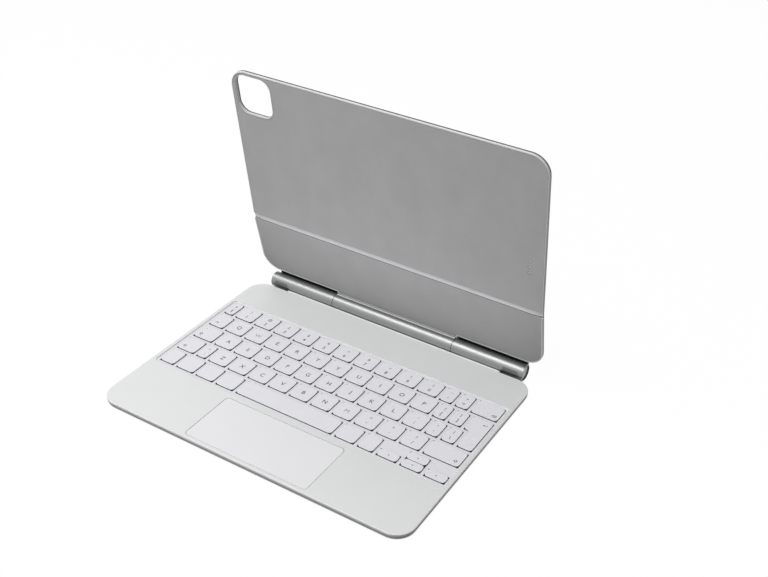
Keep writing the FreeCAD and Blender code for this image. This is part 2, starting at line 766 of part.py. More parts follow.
key_backplate = new_body("key_backplate")
sketch = new_sketch(key_backplate, height=pocket_floor)
draw_box(sketch, -(ledge_side - "seat_play"), well_low - "web_lap" + "web_ledge" + "seat_play",
         ledge_side - "seat_play", well_high + "web_lap" - "web_ledge" - "seat_play")
pad(key_backplate, sketch, "backplate_thickness")
keep("key_backplate", key_backplate)

# ---------------------------------------------------------------- trackpad and electronics

trackpad_plate = new_body("trackpad_plate", 0, pad_low_y, pad_low)
sketch = new_sketch(trackpad_plate)
draw_box(sketch, -pad_half, 0, pad_half, pad_depth, "pad_corner")
pad(trackpad_plate, sketch, "pad_thickness")
keep("trackpad_plate", trackpad_plate)

pad_middle = pad_low_y + pad_depth / 2
switch_half = d("switch_size") / 2
trackpad_switch = new_body("trackpad_switch", 0, pad_middle, pocket_floor)
sketch = new_sketch(trackpad_switch)
draw_box(sketch, -switch_half, -switch_half, switch_half, switch_half)
pad(trackpad_switch, sketch, "switch_body")
sketch = new_sketch(trackpad_switch)
draw_polygon(sketch, 0, 0, switch_half / 2)
pad(trackpad_switch, sketch, pad_seat - pocket_floor)
keep("trackpad_switch", trackpad_switch)

controller_board = new_body("controller_board", 0, board_low, pocket_floor)
sketch = new_sketch(controller_board)
draw_box(sketch, -board_half, 0, board_half, "board_depth")
pad(controller_board, sketch, "board_thickness")
chips = new_sketch(controller_board, height="board_thickness")
chip_low = (d("board_depth") - "chip_size") / 2
chip_half = d("chip_size") / 2
for place in (-d("chip_spacing"), dim(0), d("chip_spacing")):
    draw_box(chips, place - chip_half, chip_low, place + chip_half, chip_low + "chip_size")
pad(controller_board, chips, "chip_height")
keep("controller_board", controller_board)

# ---------------------------------------------------------------- hinge barrel

seam_out = d("barrel_seam") + "seam_gap"
tube_end = d("barrel_half") - "end_cap"


def tube(name, start, end):
    """A tube along the hinge axis."""
    outer = add_tube(name + "_outer", start, end, "barrel_radius", axis_y, axis_z)
    inner = add_tube(name + "_bore", dim(start) - OVER, dim(end) + OVER, "barrel_bore", axis_y, axis_z)
    return cut(name, outer, inner)


lip_end = axis_y - "bracket_reach"
tubes = []
brackets = []
screws = []
for side, (left, right) in (("left", bracket_left), ("right", bracket_right)):
    if side == "left":
        plain = tube("tube_left", -tube_end, -seam_out)
    else:
        plain = tube("tube_right", seam_out, tube_end)
    slot = add_block("slot_" + side, left - "seat_play", rear_edge, d("bracket_floor") - "seat_play",
                     right + "seat_play", lip_end + "seat_play", bracket_top + "seat_play")
    tubes.append(cut("outer_" + side, plain, slot))

    bracket = new_body("bracket_" + side, 0, 0, "bracket_floor")
    sketch = new_sketch(bracket)
    draw_box(sketch, left, bracket_front, right, lip_end)
    pad(bracket, sketch, "bracket_thickness")
    sketch = new_sketch(bracket, height=-OVER)
    places = (left + "screw_inset", right - "screw_inset")
    for place in places:
        draw_polygon(sketch, place, screw_y, d("screw_radius") + "screw_play")
    pocket(bracket, sketch, d("bracket_thickness") + OVER * 2)
    brackets.append(bracket)

    for index, place in enumerate(places):
        screw = new_body("screw_%s_%d" % (side, index), place, screw_y, bracket_top)
        sketch = new_sketch(screw)
        draw_polygon(sketch, 0, 0, "screw_head")
        pad(screw, sketch, "screw_head_height")
        shank = new_sketch(screw, height=-(d("bracket_thickness") + "screw_depth"))
        draw_polygon(shank, 0, 0, "screw_radius")
        pad(screw, shank, d("bracket_thickness") + "screw_depth")
        screws.append(screw)

keep("outer_barrels", group("outer_barrels", tubes))
keep("hinge_brackets", group("hinge_brackets", brackets))
keep("hinge_screws", group("hinge_screws", screws))

port_half = d("port_width") / 2
port_low = axis_z - d("port_height") / 2
port_high = axis_z + d("port_height") / 2
port_mouth = -d("barrel_half") + "end_chamfer"
port_end = port_mouth + "port_depth"


def end_cap(name, turned):
    """An end cap: a chamfered flange with a spigot that plugs the tube."""
    body = new_body(name, d("barrel_half") if turned else -d("barrel_half"), axis_y, axis_z)
    sketch = new_sketch(body, "YZ_Plane", -d("end_cap") if turned else 0)
    draw_circle(sketch, 0, 0, "barrel_radius")
    pad(body, sketch, "end_cap")

    def rim(edge):
        box = edge.BoundBox
        return abs(box.XMin) < 1e-4 and abs(box.XMax) < 1e-4

    round_edges(body, "Chamfer", "end_chamfer", rim)
    start = -(d("end_cap") + "spigot_length") if turned else d("end_cap")
    sketch = new_sketch(body, "YZ_Plane", start)
    draw_circle(sketch, 0, 0, d("barrel_bore") - "plug_play")
    pad(body, sketch, "spigot_length")
    return body


left_cap = end_cap("cap_left", False)
port_hole = new_sketch(left_cap, "YZ_Plane", -OVER)
side = port_half + "seat_play"
rise = d("port_height") / 2 + "seat_play"
draw_box(port_hole, -side, -rise, side, rise)
pocket(left_cap, port_hole, d("end_cap") + "spigot_length" + OVER * 2)
right_cap = end_cap("cap_right", True)
keep("end_caps", group("end_caps", [left_cap, right_cap]))

port = new_body("charging_port", port_mouth, axis_y, axis_z)
sketch = new_sketch(port, "YZ_Plane")
draw_box(sketch, -port_half, -(d("port_height") / 2), port_half, d("port_height") / 2)
pad(port, sketch, "port_depth")
round_edges(port, "Chamfer", "port_corner", lambda edge: edge.BoundBox.XLength > 1)
mouth = new_sketch(port, "YZ_Plane", 0)
inner = port_half - "port_wall"
rise = d("port_height") / 2 - "port_wall"
draw_box(mouth, -inner, -rise, inner, rise, d("port_corner") - d("port_wall") / 2)
pocket(port, mouth, d("port_depth") - "end_cap")
blade = new_sketch(port, "YZ_Plane", "port_sink")
blade_half = inner - "port_sink"
draw_box(blade, -blade_half, -(d("port_tongue") / 2), blade_half, d("port_tongue") / 2)
pad(port, blade, d("port_depth") - "port_sink")
keep("charging_port", port)

shafts = []
anchor_start = seam_out + "anchor_gap"
anchor_end = anchor_start + "anchor_length"
shaft_fit = d("barrel_bore") - "plug_play"
for sign, side in ((-1, "left"), (1, "right")):
    if sign > 0:
        thin = add_tube("thin_right", "shaft_inner", anchor_start, "shaft_radius", axis_y, axis_z)
        thick = add_tube("thick_right", anchor_start, anchor_end, shaft_fit, axis_y, axis_z)
        flat_from, flat_to = anchor_start, anchor_end + OVER
    else:
        thin = add_tube("thin_left", -anchor_start, -d("shaft_inner"), "shaft_radius", axis_y, axis_z)
        thick = add_tube("thick_left", -anchor_end, -anchor_start, shaft_fit, axis_y, axis_z)
        flat_from, flat_to = -anchor_end - OVER, -anchor_start
    whole = join("shaft_" + side, [thin, thick])
    flat = add_block("flat_" + side, flat_from, axis_y - "barrel_bore", axis_z - "barrel_bore",
                     flat_to, axis_y - "bracket_reach" + "seat_play" + "seat_play",
                     bracket_top + "seat_play")
    shafts.append(cut("keyed_shaft_" + side, whole, flat))
keep("hinge_shafts", group("hinge_shafts", shafts))

# ---------------------------------------------------------------- lower lid panel

# Lid pieces are drawn flat: x along the lid, y up the lid from the hinge axis, z out of the
# inner face. The placement stands them up.
lower_turn = d("lid_lean") + 90
upper_turn = d("upper_lean") + 90
lid_half = d("lid_width") / 2
inner_face = -(d("barrel_radius") - "lid_bite")
lid_bottom = d("barrel_radius") + "lid_clear"
back_face = inner_face - "lid_thickness"
shell_face = back_face + "shell_thickness"
liner_face = inner_face - "liner_thickness"
rim_face = inner_face + "rim_proud"
lower_end = d("crease_low") - "strip_play"
upper_start = d("crease_low") + "crease_gap"
fold_along = d("crease_low") + d("crease_gap") / 2
fold_deep = back_face + d("shell_thickness") / 2


def lower_body(name):
    """A body in the lower panel's own frame."""
    return new_body(name, 0, axis_y, axis_z, lower_turn)


def lower_box(body, left, low, right, high, floor, ceiling, corner=None, rounded=(1, 1, 1, 1)):
    """Pads a block on the lower panel between two levels."""
    sketch = new_sketch(body, height=floor)
    draw_box(sketch, left, low, right, high, corner, rounded)
    pad(body, sketch, dim(ceiling) - floor)


tongue_side = d("barrel_seam") + "tongue_over"
tongue_inner = tongue_side - "hinge_rim"
tongue_reach = d("barrel_radius") + "tongue_clear"
tongue_low = root(tongue_reach * tongue_reach - rim_face * rim_face)
tongue_top = tongue_low + "hinge_rim"
hinge_side = lid_bottom + "hinge_rim"
tang_face = -(d("barrel_radius") - "tang_sink")
tang_top = tang_face + "tang_thickness"
plate_top = liner_face - "plate_cover" - "seat_play"

shell = lower_body("lower_back_skin")
lower_box(shell, -lid_half, lid_bottom, lid_half, lower_end, back_face, rim_face,
          "lid_corner", (1, 1, 0, 0))
round_edges(shell, "Chamfer", "back_chamfer",
            lambda edge: level(back_face.value)(edge) and edge.BoundBox.YMin < lower_end.value - 1)
lower_box(shell, -tongue_side, tongue_low, tongue_side, hinge_side, back_face, rim_face)
lower_box(shell, -d("flap_half"), "flap_low", "flap_half", hinge_side + "flap_lap", back_face, shell_face)
cut_box(shell, shell_face, d("lid_thickness") + OVER, -(lid_half - "rim_width"), hinge_side,
        lid_half - "rim_width", lower_end + OVER, d("lid_corner") - "rim_width", (1, 1, 0, 0))
cut_box(shell, shell_face, d("lid_thickness") + OVER, -tongue_inner, tongue_top, tongue_inner,
        hinge_side + OVER)
cut_box(shell, shell_face, tang_top + "seat_play" - shell_face, -(d("tang_half") + "seat_play"),
        0, d("tang_half") + "seat_play", hinge_side)
flap_sides = (
    (-(d("flap_half") - "flap_edge"), -(tongue_side + "core_play")),
    (tongue_side + "core_play", d("flap_half") - "flap_edge"),
)
for left, right in flap_sides:
    cut_box(shell, shell_face, d("flap_core") + "core_play", left - "core_play", 0, right + "core_play",
            hinge_side)
keep("lower_back_skin", shell)

core = lower_body("lower_core")
core_side = lid_half - "rim_width" - "core_play"
lower_box(core, -core_side, hinge_side + "core_play", core_side, lower_end, shell_face, liner_face,
          d("lid_corner") - "rim_width" - "core_play", (1, 1, 0, 0))
plate_side = d("tang_half") + "seat_play"
cut_box(core, shell_face, "lid_thickness", -plate_side, 0, plate_side, d("tang_high") + "seat_play")
cut_box(core, shell_face - OVER, plate_top + "seat_play" - shell_face + OVER, -plate_side, 0, plate_side,
        d("plate_high") + "seat_play")
for left, right in flap_sides:
    lower_box(core, left, "flap_low", right, hinge_side + "core_play" + OVER, shell_face,
              shell_face + "flap_core")
keep("lower_core", core)

liner = lower_body("lower_liner")
lower_box(liner, -core_side, hinge_side + "core_play", core_side, lower_end, liner_face, inner_face,
          d("lid_corner") - "rim_width" - "core_play", (1, 1, 0, 0))
lower_box(liner, -(tongue_inner - "core_play"), tongue_top + "core_play",
          tongue_inner - "core_play", hinge_side + OVER, liner_face, inner_face)
keep("lower_liner", liner)

plate = lower_body("lid_bracket")
lower_box(plate, -d("tang_half"), hinge_side + "core_play", "tang_half", "plate_high",
          shell_face, plate_top)
keep("lid_bracket", plate)

middle = lower_body("centre_barrel")
sketch = new_sketch(middle, "YZ_Plane", -d("barrel_seam"))
draw_circle(sketch, 0, 0, "barrel_radius")
pad(middle, sketch, d("barrel_seam") * 2)
lower_box(middle, -d("tang_half"), "tang_low", "tang_half", "tang_high", tang_face, tang_top)
sketch = new_sketch(middle, "YZ_Plane", -(d("barrel_seam") + OVER))
draw_circle(sketch, 0, 0, "barrel_bore")
pocket(middle, sketch, d("barrel_seam") * 2 + OVER * 2)
clip_inner = d("shaft_inner") + "clip_start"
clip_outer = clip_inner + "clip_length"
rib_half = d("rib_width") / 2
rib_root = -(d("barrel_radius") + "barrel_bore") / 2
rib_tip = d("rib_height") - "barrel_bore"
lower_box(middle, -clip_outer, -rib_half, clip_outer, rib_half, rib_root, rib_tip)
keep("centre_barrel", middle)

clips = []
for side, start in (("left", -clip_outer), ("right", clip_inner)):
    clip = lower_body("clip_" + side)
    sketch = new_sketch(clip, "YZ_Plane", start)
    draw_circle(sketch, 0, 0, shaft_fit)
    pad(clip, sketch, "clip_length")
    sketch = new_sketch(clip, "YZ_Plane", start - OVER)
    draw_circle(sketch, 0, 0, d("shaft_radius") + "clip_play")
    pocket(clip, sketch, d("clip_length") + OVER * 2)
    cut_box(clip, -(d("barrel_bore") + OVER), d("barrel_bore") + OVER, start - OVER,
            -(rib_half + "seat_play"), start + "clip_length" + OVER, rib_half + "seat_play")
    clips.append(clip)
keep("friction_clips", group("friction_clips", clips))

strip = lower_body("crease_strip")
strip_face = inner_face - "strip_rise"
lower_box(strip, -(lid_half - "rim_fillet"), d("crease_low"), lid_half - "rim_fillet",
          upper_start - "strip_play" - "strip_play", strip_face - "strip_thickness", strip_face)
keep("crease_strip", strip)

# ---------------------------------------------------------------- upper lid panel

turn = math.radians(lower_turn.value)
lean_text = "(%s) * 1 deg" % lower_turn.text
cosine = Dim("cos(%s)" % lean_text, math.cos(turn))
sine = Dim("sin(%s)" % lean_text, math.sin(turn))
fold_y = axis_y + fold_along * cosine - fold_deep * sine
fold_z = axis_z + fold_along * sine + fold_deep * cosine

edge_low = upper_start - fold_along
edge_high = d("lid_top") - fold_along
up_back = back_face - fold_deep
up_shell = shell_face - fold_deep
up_liner = liner_face - fold_deep
up_inner = inner_face - fold_deep
up_rim = rim_face - fold_deep


def upper_body(name):
    """A body in the upper panel's own frame, whose origin is on the fold."""
    return new_body(name, 0, fold_y, fold_z, upper_turn)


window_left = -(lid_half - "window_side")
window_right = window_left + "window_width"
window_high = edge_high - "window_top"
window_low = window_high - "window_height"


def cut_window(body, grow, floor, depth):
    """Cuts the camera window, larger by grow on every side."""
    cut_box(body, floor, depth, window_left - grow, window_low - grow, window_right + grow,
            window_high + grow, d("window_corner") + grow)


shell = upper_body("upper_back_skin")
lower_box(shell, -lid_half, edge_low, lid_half, edge_high, up_back, up_rim, "lid_corner", (0, 0, 1, 1))
round_edges(shell, "Chamfer", "back_chamfer",
            lambda edge: level(up_back.value)(edge) and edge.BoundBox.YMax > edge_low.value + 1)
cut_box(shell, up_shell, d("lid_thickness") + OVER, -(lid_half - "rim_width"), edge_low - OVER,
        lid_half - "rim_width", edge_high - "rim_width", d("lid_corner") - "rim_width", (0, 0, 1, 1))
lower_box(shell, window_left - "window_rim", window_low - "window_rim", window_right + "window_rim",
          window_high + "window_rim", up_shell, up_inner, d("window_corner") + "window_rim")
cut_window(shell, dim(0), up_back - OVER, d("lid_thickness") + OVER * 3)
keep("upper_back_skin", shell)

pin_places = [d("crease_low") + "pin_rise" + d("pin_pitch") * step - fold_along for step in (-1, 0, 1)]
magnet_rows = [d("crease_low") + place - fold_along for place in ("magnet_low", "magnet_high")]
magnet_places = []
for row in magnet_rows:
    for step in (-1.5, -0.5, 0.5, 1.5):
        magnet_places.append((d("magnet_pitch") * step, row))


def draw_magnets(sketch, play):
    """Draws every magnet's outline, larger by play."""
    half_long = d("magnet_length") / 2 + play
    half_wide = d("magnet_width") / 2 + play
    for x, y in magnet_places:
        draw_box(sketch, x - half_long, y - half_wide, x + half_long, y + half_wide)


core = upper_body("upper_core")
lower_box(core, -core_side, edge_low, core_side, edge_high - "rim_width" - "core_play", up_shell,
          up_liner, d("lid_corner") - "rim_width" - "core_play", (0, 0, 1, 1))
cut_window(core, d("window_rim") + "core_play", up_shell - OVER, d("lid_thickness") + OVER * 2)
magnet_seat = up_shell + "magnet_web"
magnet_thickness = up_liner - "core_play" - magnet_seat
sketch = new_sketch(core, height=magnet_seat)
draw_magnets(sketch, d("core_play"))
pocket(core, sketch, "lid_thickness")
sketch = new_sketch(core, height=up_shell - OVER)
for place in pin_places:
    draw_polygon(sketch, "pin_x", place, d("pin_radius") + "pin_play")
pocket(core, sketch, d("lid_thickness") + OVER * 2)
keep("upper_core", core)

liner = upper_body("upper_liner")
lower_box(liner, -core_side, edge_low, core_side, edge_high - "rim_width" - "core_play", up_liner,
          up_inner, d("lid_corner") - "rim_width" - "core_play", (0, 0, 1, 1))
cut_window(liner, d("window_rim") + "core_play", up_liner - OVER, d("lid_thickness") + OVER * 2)
sketch = new_sketch(liner, height=up_liner - OVER)
for place in pin_places:
    draw_polygon(sketch, "pin_x", place, d("pin_radius") + "pin_play")
pocket(liner, sketch, "lid_thickness")
keep("upper_liner", liner)

magnets = upper_body("tablet_magnets")
magnets.AllowCompound = True
sketch = new_sketch(magnets, height=magnet_seat)
draw_magnets(sketch, dim(0))
pad(magnets, sketch, magnet_thickness)
keep("tablet_magnets", magnets)

pins = upper_body("contact_pins")
pins.AllowCompound = True
sketch = new_sketch(pins, height=up_shell)
for place in pin_places:
    draw_polygon(sketch, "pin_x", place, "pin_radius")
pad(pins, sketch, up_inner + "rim_proud" - up_shell)
keep("contact_pins", pins)

# ---------------------------------------------------------------- checks and export

doc.recompute()
faults = []
for thing in doc.Objects:
    if "Invalid" in thing.State or "Error" in thing.State:
        faults.append("%s is %s" % (thing.Name, thing.State))
for name, thing in PARTS.items():
    if thing.Shape.isNull() or not thing.Shape.isValid() or not thing.Shape.Solids:
        faults.append("%s has no valid solid" % name)
if faults:
    raise RuntimeError("; ".join(faults))

os.makedirs("parts", exist_ok=True)
for name, thing in PARTS.items():
    thing.Shape.exportStep(os.path.join("parts", name + ".step"))
print("%d pieces, %d solids" % (len(PARTS), sum(len(thing.Shape.Solids) for thing in PARTS.values())))
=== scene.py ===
import json
import logging
import math
from dataclasses import dataclass, field
from enum import Enum
from typing import Iterable, Sequence

import bmesh
import bpy
from bmesh import ops
from mathutils import Matrix, Vector


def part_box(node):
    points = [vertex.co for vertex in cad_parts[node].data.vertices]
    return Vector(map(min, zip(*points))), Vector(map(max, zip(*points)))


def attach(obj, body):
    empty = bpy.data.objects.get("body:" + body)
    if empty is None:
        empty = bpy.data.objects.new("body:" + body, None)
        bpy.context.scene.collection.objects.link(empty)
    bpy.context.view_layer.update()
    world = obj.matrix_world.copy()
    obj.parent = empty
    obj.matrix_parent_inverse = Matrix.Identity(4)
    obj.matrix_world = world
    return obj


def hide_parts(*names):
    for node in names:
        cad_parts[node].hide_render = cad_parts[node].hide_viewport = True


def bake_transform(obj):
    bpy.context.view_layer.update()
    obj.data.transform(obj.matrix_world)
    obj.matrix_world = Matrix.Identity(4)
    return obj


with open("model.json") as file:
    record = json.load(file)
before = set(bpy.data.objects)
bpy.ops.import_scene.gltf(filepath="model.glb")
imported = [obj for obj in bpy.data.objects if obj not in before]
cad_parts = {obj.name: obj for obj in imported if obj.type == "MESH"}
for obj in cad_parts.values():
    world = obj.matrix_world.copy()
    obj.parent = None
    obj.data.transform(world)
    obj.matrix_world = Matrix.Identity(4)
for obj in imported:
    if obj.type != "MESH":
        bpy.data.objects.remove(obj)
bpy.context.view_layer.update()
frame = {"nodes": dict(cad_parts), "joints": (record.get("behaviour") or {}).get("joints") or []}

# A folding keyboard case for a slim tablet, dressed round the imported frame. Metres.

MM = 0.001
Pair = tuple[float, float]
Triple = tuple[float, float, float]
Rect = tuple[float, float, float, float]
Cap = tuple[Rect, float, float]
Points = Sequence[Pair]
Mesh, Edge = bmesh.types.BMesh, bmesh.types.BMEdge
Face, Vert = bmesh.types.BMFace, bmesh.types.BMVert
Node, Socket = bpy.types.Node, bpy.types.NodeSocket
WHITE = (1.0, 1.0, 1.0, 1.0)
TOP_FACING = 0.35
TIGHT = 0.001 * MM
NEAR = 0.05 * MM
log = logging.getLogger("keyboard_case")


# --- finishes


class Graph:
    """The node tree of a material or a world while it is being built."""

    def __init__(self, owner: bpy.types.Material | bpy.types.World) -> None:
        """Empties the owner's node tree."""
        self.owner = owner
        owner.use_nodes = True
        self.tree = owner.node_tree
        self.tree.nodes.clear()

    def add(self, kind: str, values: dict[str, object] | None = None, **settings: object) -> Node:
        """Adds a node.

        Args:
            kind: the node's type name.
            values: input values or sockets to link, by input name or number.
            settings: properties of the node.

        Returns:
            The node.
        """
        node = self.tree.nodes.new(kind)
        for key, value in settings.items():
            setattr(node, key, value)
        for key, value in (values or {}).items():
            socket = node.inputs[key]
            if isinstance(value, Socket):
                self.tree.links.new(value, socket)
            else:
                socket.default_value = value
        return node

    def place(self, scale: Sequence[float]) -> Socket:
        """Object coordinates times the patterns per metre along x, y and z."""
        where = self.add("ShaderNodeTexCoord").outputs["Object"]
        mapping = self.add("ShaderNodeMapping", {"Vector": where, "Scale": tuple(scale)})
        return mapping.outputs["Vector"]

    def noise(self, scale: Sequence[float], detail: float = 2.0) -> Socket:
        """Fractal noise with so many patterns per metre along x, y and z."""
        values = {"Vector": self.place(scale), "Scale": 1.0, "Detail": detail}
        return self.add("ShaderNodeTexNoise", values).outputs["Fac"]

    def spread(self, source: Socket, low: float, high: float) -> Socket:
        """Maps the middle of a noise to the range from low to high."""
        return self.stretch(source, (0.3, 0.7), (low, high))

    def stretch(self, source: Socket, old: Pair, new: Pair) -> Socket:
        """Maps one range of a value to another."""
        ends = dict(zip(("From Min", "From Max", "To Min", "To Max"), (*old, *new)))
        return self.add("ShaderNodeMapRange", {"Value": source, **ends}).outputs["Result"]

    def mix(self, share: float | Socket, one: Node, other: Node) -> Node:
        """Mixes two shaders; a share of 1 is all of the second."""
        return self.add("ShaderNodeMixShader", {0: share, 1: one.outputs[0], 2: other.outputs[0]})

    def tint(self, colour: Triple, share: Socket) -> Socket:
        """A colour made lighter or darker by a factor near 1."""
        mixer = self.add("ShaderNodeVectorMath", {0: colour, 1: share}, operation="MULTIPLY")
        return mixer.outputs["Vector"]

    def bump(self, height: Socket, depth: float, under: Socket | None = None) -> Socket:
        """A bump of a height pattern, so many metres deep, on top of another normal if there is one."""
        values: dict[str, object] = {"Height": height, "Distance": depth, "Strength": 1.0}
        if under is not None:
            values["Normal"] = under
        return self.add("ShaderNodeBump", values).outputs["Normal"]

    def multiply(self, one: Socket, other: Socket) -> Socket:
        """The product of two factors."""
        return self.add("ShaderNodeMath", {0: one, 1: other}, operation="MULTIPLY").outputs[0]

    def finish(self, shader: Node, output: str = "Material") -> bpy.types.ID:
        """Links the last shader to the surface and returns the tree's owner."""
        self.add("ShaderNodeOutput" + output, {"Surface": shader.outputs[0]})
        return self.owner

    def principled(self, values: dict[str, object]) -> bpy.types.Material:
        """Ends the material with a surface of these values."""
        return self.finish(self.add("ShaderNodeBsdfPrincipled", values))

    def coat(self, look: "Moulded | Satin", broad: Socket, fine: Socket, gloss: Pair) -> bpy.types.Material:
        """Ends a plain finish: a broad noise in its colour, a fine one in its gloss and its relief."""
        return self.principled({
            "Base Color": self.tint(look.colour, self.spread(broad, 1 - look.swing, 1 + look.swing)),
            "Roughness": self.spread(fine, look.rough + gloss[0], look.rough + gloss[1]),
            "Metallic": look.metal,
            "Normal": self.bump(fine, look.depth),
        })


@dataclass(frozen=True)
class Moulded:
    """A moulded, painted or coated surface with a fine grain."""

    name: str
    colour: Triple
    rough: float = 0.5
    rough_swing: float = 0.05
    grain: float = 0.35 * MM
    depth: float = 0.004 * MM
    swing: float = 0.02
    cloud: float = 9.0 * MM
    metal: float = 0.0

    def build(self) -> bpy.types.Material:
        """Returns the finish as a node material."""
        graph = Graph(bpy.data.materials.new(self.name))
        broad, fine = graph.noise([1 / self.cloud] * 3), graph.noise([1 / self.grain] * 3, 3.0)
        return graph.coat(self, broad, fine, (-self.rough_swing, self.rough_swing))


@dataclass(frozen=True)
class Satin:
    """Blasted or brushed metal whose fine lines run along X."""

    name: str
    colour: Triple
    rough: float = 0.35
    line: float = 0.12 * MM
    length: float = 6.0 * MM
    depth: float = 0.002 * MM
    swing: float = 0.03
    metal: float = 1.0
    cloud: float = 1 / 60
    gloss: Pair = (-0.05, 0.06)

    def build(self) -> bpy.types.Material:
        """Returns the finish as a node material."""
        graph = Graph(bpy.data.materials.new(self.name))
        lines = graph.noise([1 / self.length, 1 / self.line, 1 / self.line], 3.0)
        return graph.coat(self, graph.noise([1 / self.cloud] * 3), lines, self.gloss)


@dataclass(frozen=True)
class Microfibre:
    """A short, soft pile with a faint cloudiness and painted shade where other surfaces come near."""

    name: str
    colour: Triple
    fibre: float = 0.22 * MM
    speck: float = 0.08
    cloud: float = 0.035
    cell: float = 1 / 1500
    cell_depth: float = 0.012 * MM
    pile_depth: float = 0.02 * MM
    reach: float = 60.0 * MM
    shade: float = 0.66
    stretch: float = 1.6
    broad: Triple = (70.0, 45.0, 45.0)
    open_from: float = 0.5
    rough: Pair = (0.86, 0.98)
    sheen: float = 0.25

    def build(self) -> bpy.types.Material:
        """Returns the finish as a node material."""
        graph = Graph(bpy.data.materials.new(self.name))
        pile = graph.noise([1 / self.fibre, 1 / (self.fibre * self.stretch), 1 / self.fibre], 4.0)
        cloud = graph.noise(self.broad, 3.0)
        cells = graph.add("ShaderNodeTexVoronoi", {"Vector": graph.place([1 / self.cell] * 3), "Scale": 1.0})
        fleck = graph.spread(pile, 1 - self.speck, 1 + self.speck)
        broad = graph.spread(cloud, 1 - self.cloud, 1 + self.cloud)
        # painted shade: the colour darkens where other surfaces come within reach
        open_air = graph.add("ShaderNodeAmbientOcclusion", {"Distance": self.reach}, samples=8).outputs["AO"]
        shade = graph.stretch(open_air, (self.open_from, 1.0), (self.shade, 1.0))
        normal = graph.bump(cells.outputs["Distance"], self.cell_depth, graph.bump(pile, self.pile_depth))
        return graph.principled({
            "Base Color": graph.tint(self.colour, graph.multiply(graph.multiply(fleck, broad), shade)),
            "Roughness": graph.spread(pile, *self.rough),
            "Sheen Weight": self.sheen,
            "Sheen Roughness": 0.5,
            "Normal": normal,
        })


SHEET_GRAIN = (0.10 * MM, 0.3 * MM, 0.0012 * MM, 0.006, 0.2)
SKIN_GRAIN = (0.06, 0.3 * MM, 0.010 * MM, 0.03, 5 * MM)
CAP_GRAIN = (0.2 * MM, 0.003 * MM)


class Finish(Enum):
    """The finishes of the case, each built once."""

    COVER = Moulded("cover_white", (0.66, 0.66, 0.655), 0.52, 0.05, 0.4 * MM, 0.006 * MM, 0.015)
    DECK = Satin("deck_aluminium", (0.74, 0.745, 0.745), 0.5, *SHEET_GRAIN)
    # lighter rear rim of the deck: a painted highlight
    DECK_RIM_HIGHLIGHT = Satin("deck_rim_painted_highlight", (0.90, 0.905, 0.905), 0.4, *SHEET_GRAIN)
    KEY_TOP = Moulded("key_white", (0.77, 0.77, 0.80), 0.42, 0.06, *CAP_GRAIN, 0.01)
    KEY_WEB = Moulded("key_web", (0.75, 0.75, 0.78), 0.48, 0.05, *CAP_GRAIN, 0.01)
    # key cap walls: painted shade for the shadowed gaps round the caps
    KEY_WALL_SHADE = Moulded("key_wall_painted_shade", (0.12, 0.12, 0.13), 0.55, 0.05, *CAP_GRAIN, 0.03)
    INK = Moulded("legend_grey", (0.09, 0.09, 0.095), 0.6, 0.05, 0.1 * MM, 0.001 * MM, 0.04)
    GLASS = Moulded("trackpad_glass", (0.79, 0.79, 0.81), 0.34, 0.03, 0.08 * MM, 0.0008 * MM, 0.006, 25 * MM)
    FRAME = Moulded("frame_plastic", (0.30, 0.30, 0.31), 0.55)
    BOARD = Moulded("board_green", (0.03, 0.16, 0.07), 0.4, 0.08, 0.5 * MM, 0.01 * MM, 0.08, 3 * MM)
    RUBBER = Moulded("dome_rubber", (0.72, 0.72, 0.70), 0.7, 0.05, 0.1 * MM, 0.002 * MM, 0.03)
    LINK = Moulded("link_plastic", (0.55, 0.55, 0.56), 0.5)
    CORE = Moulded("core_board", (0.010, 0.010, 0.011), 0.8, 0.08, 0.25 * MM, 0.012 * MM, 0.15)
    PLUG = Moulded("plug_ring", (0.055, 0.055, 0.057), 0.6, 0.05, 0.2 * MM, 0.004 * MM, 0.05)
    BARREL = Satin("barrel_aluminium", (0.285, 0.29, 0.29), 0.42)
    DISC = Satin("plug_aluminium", (0.40, 0.40, 0.405), 0.40)
    STEEL = Satin("plate_steel", (0.60, 0.60, 0.62), 0.38)
    PORT = Satin("port_steel", (0.50, 0.50, 0.52), 0.28)
    NICKEL = Satin("magnet_nickel", (0.62, 0.60, 0.57), 0.22)
    CONTACT = Satin("contact_silver", (0.46, 0.46, 0.47), 0.42)
    # dark patch on the end tubes: a painted reflection
    BARREL_REFLECTION = Satin("barrel_painted_reflection", (0.17, 0.17, 0.175), 0.5)
    # underside bands of the cover: painted shade, darker nearer the floor
    UNDER = Moulded("underside_shade", (0.27, 0.27, 0.275), 0.6, *SKIN_GRAIN)
    UNDER_HALF_SHADE = Moulded("underside_half_painted_shade", (0.46, 0.46, 0.465), 0.6, *SKIN_GRAIN)
    # dark finish for painted shade on lid edges, the lip gap and the crease
    EDGE = Moulded("edge_painted_shade", (0.12, 0.12, 0.12), 0.6, 0.05, 0.3 * MM, 0.004 * MM, 0.04)
    STRIP = Moulded("crease_skin", (0.74, 0.74, 0.755), 0.6, *SKIN_GRAIN)
    LINER = Microfibre("liner_grey", (0.45, 0.45, 0.455))


BUILT: dict[Finish, bpy.types.Material] = {}


def material(finish: Finish) -> bpy.types.Material:
    """Returns a finish's material, built at its first use."""
    if finish not in BUILT:
        BUILT[finish] = finish.value.build()
    return BUILT[finish]


# --- mesh tools


def at_level(edge: Edge, level: float, near: float = TIGHT) -> bool:
    """Says whether an edge lies flat at a height."""
    return all(level - near <= vert.co.z <= level + near for vert in edge.verts)


def upright(mesh: Mesh) -> list[Edge]:
    """The edges that change height."""
    return [e for e in mesh.edges if abs(e.verts[0].co.z - e.verts[1].co.z) > TIGHT]


def cut(mesh: Mesh, level: float, axis: int) -> None:
    """Divides a mesh's faces where they cross a level of an axis."""
    place, normal = Vector(), Vector()
    place[axis], normal[axis] = level, 1.0
    everything = [*mesh.verts, *mesh.edges, *mesh.faces]
    ops.bisect_plane(mesh, geom=everything, dist=1e-7, plane_co=place, plane_no=normal)


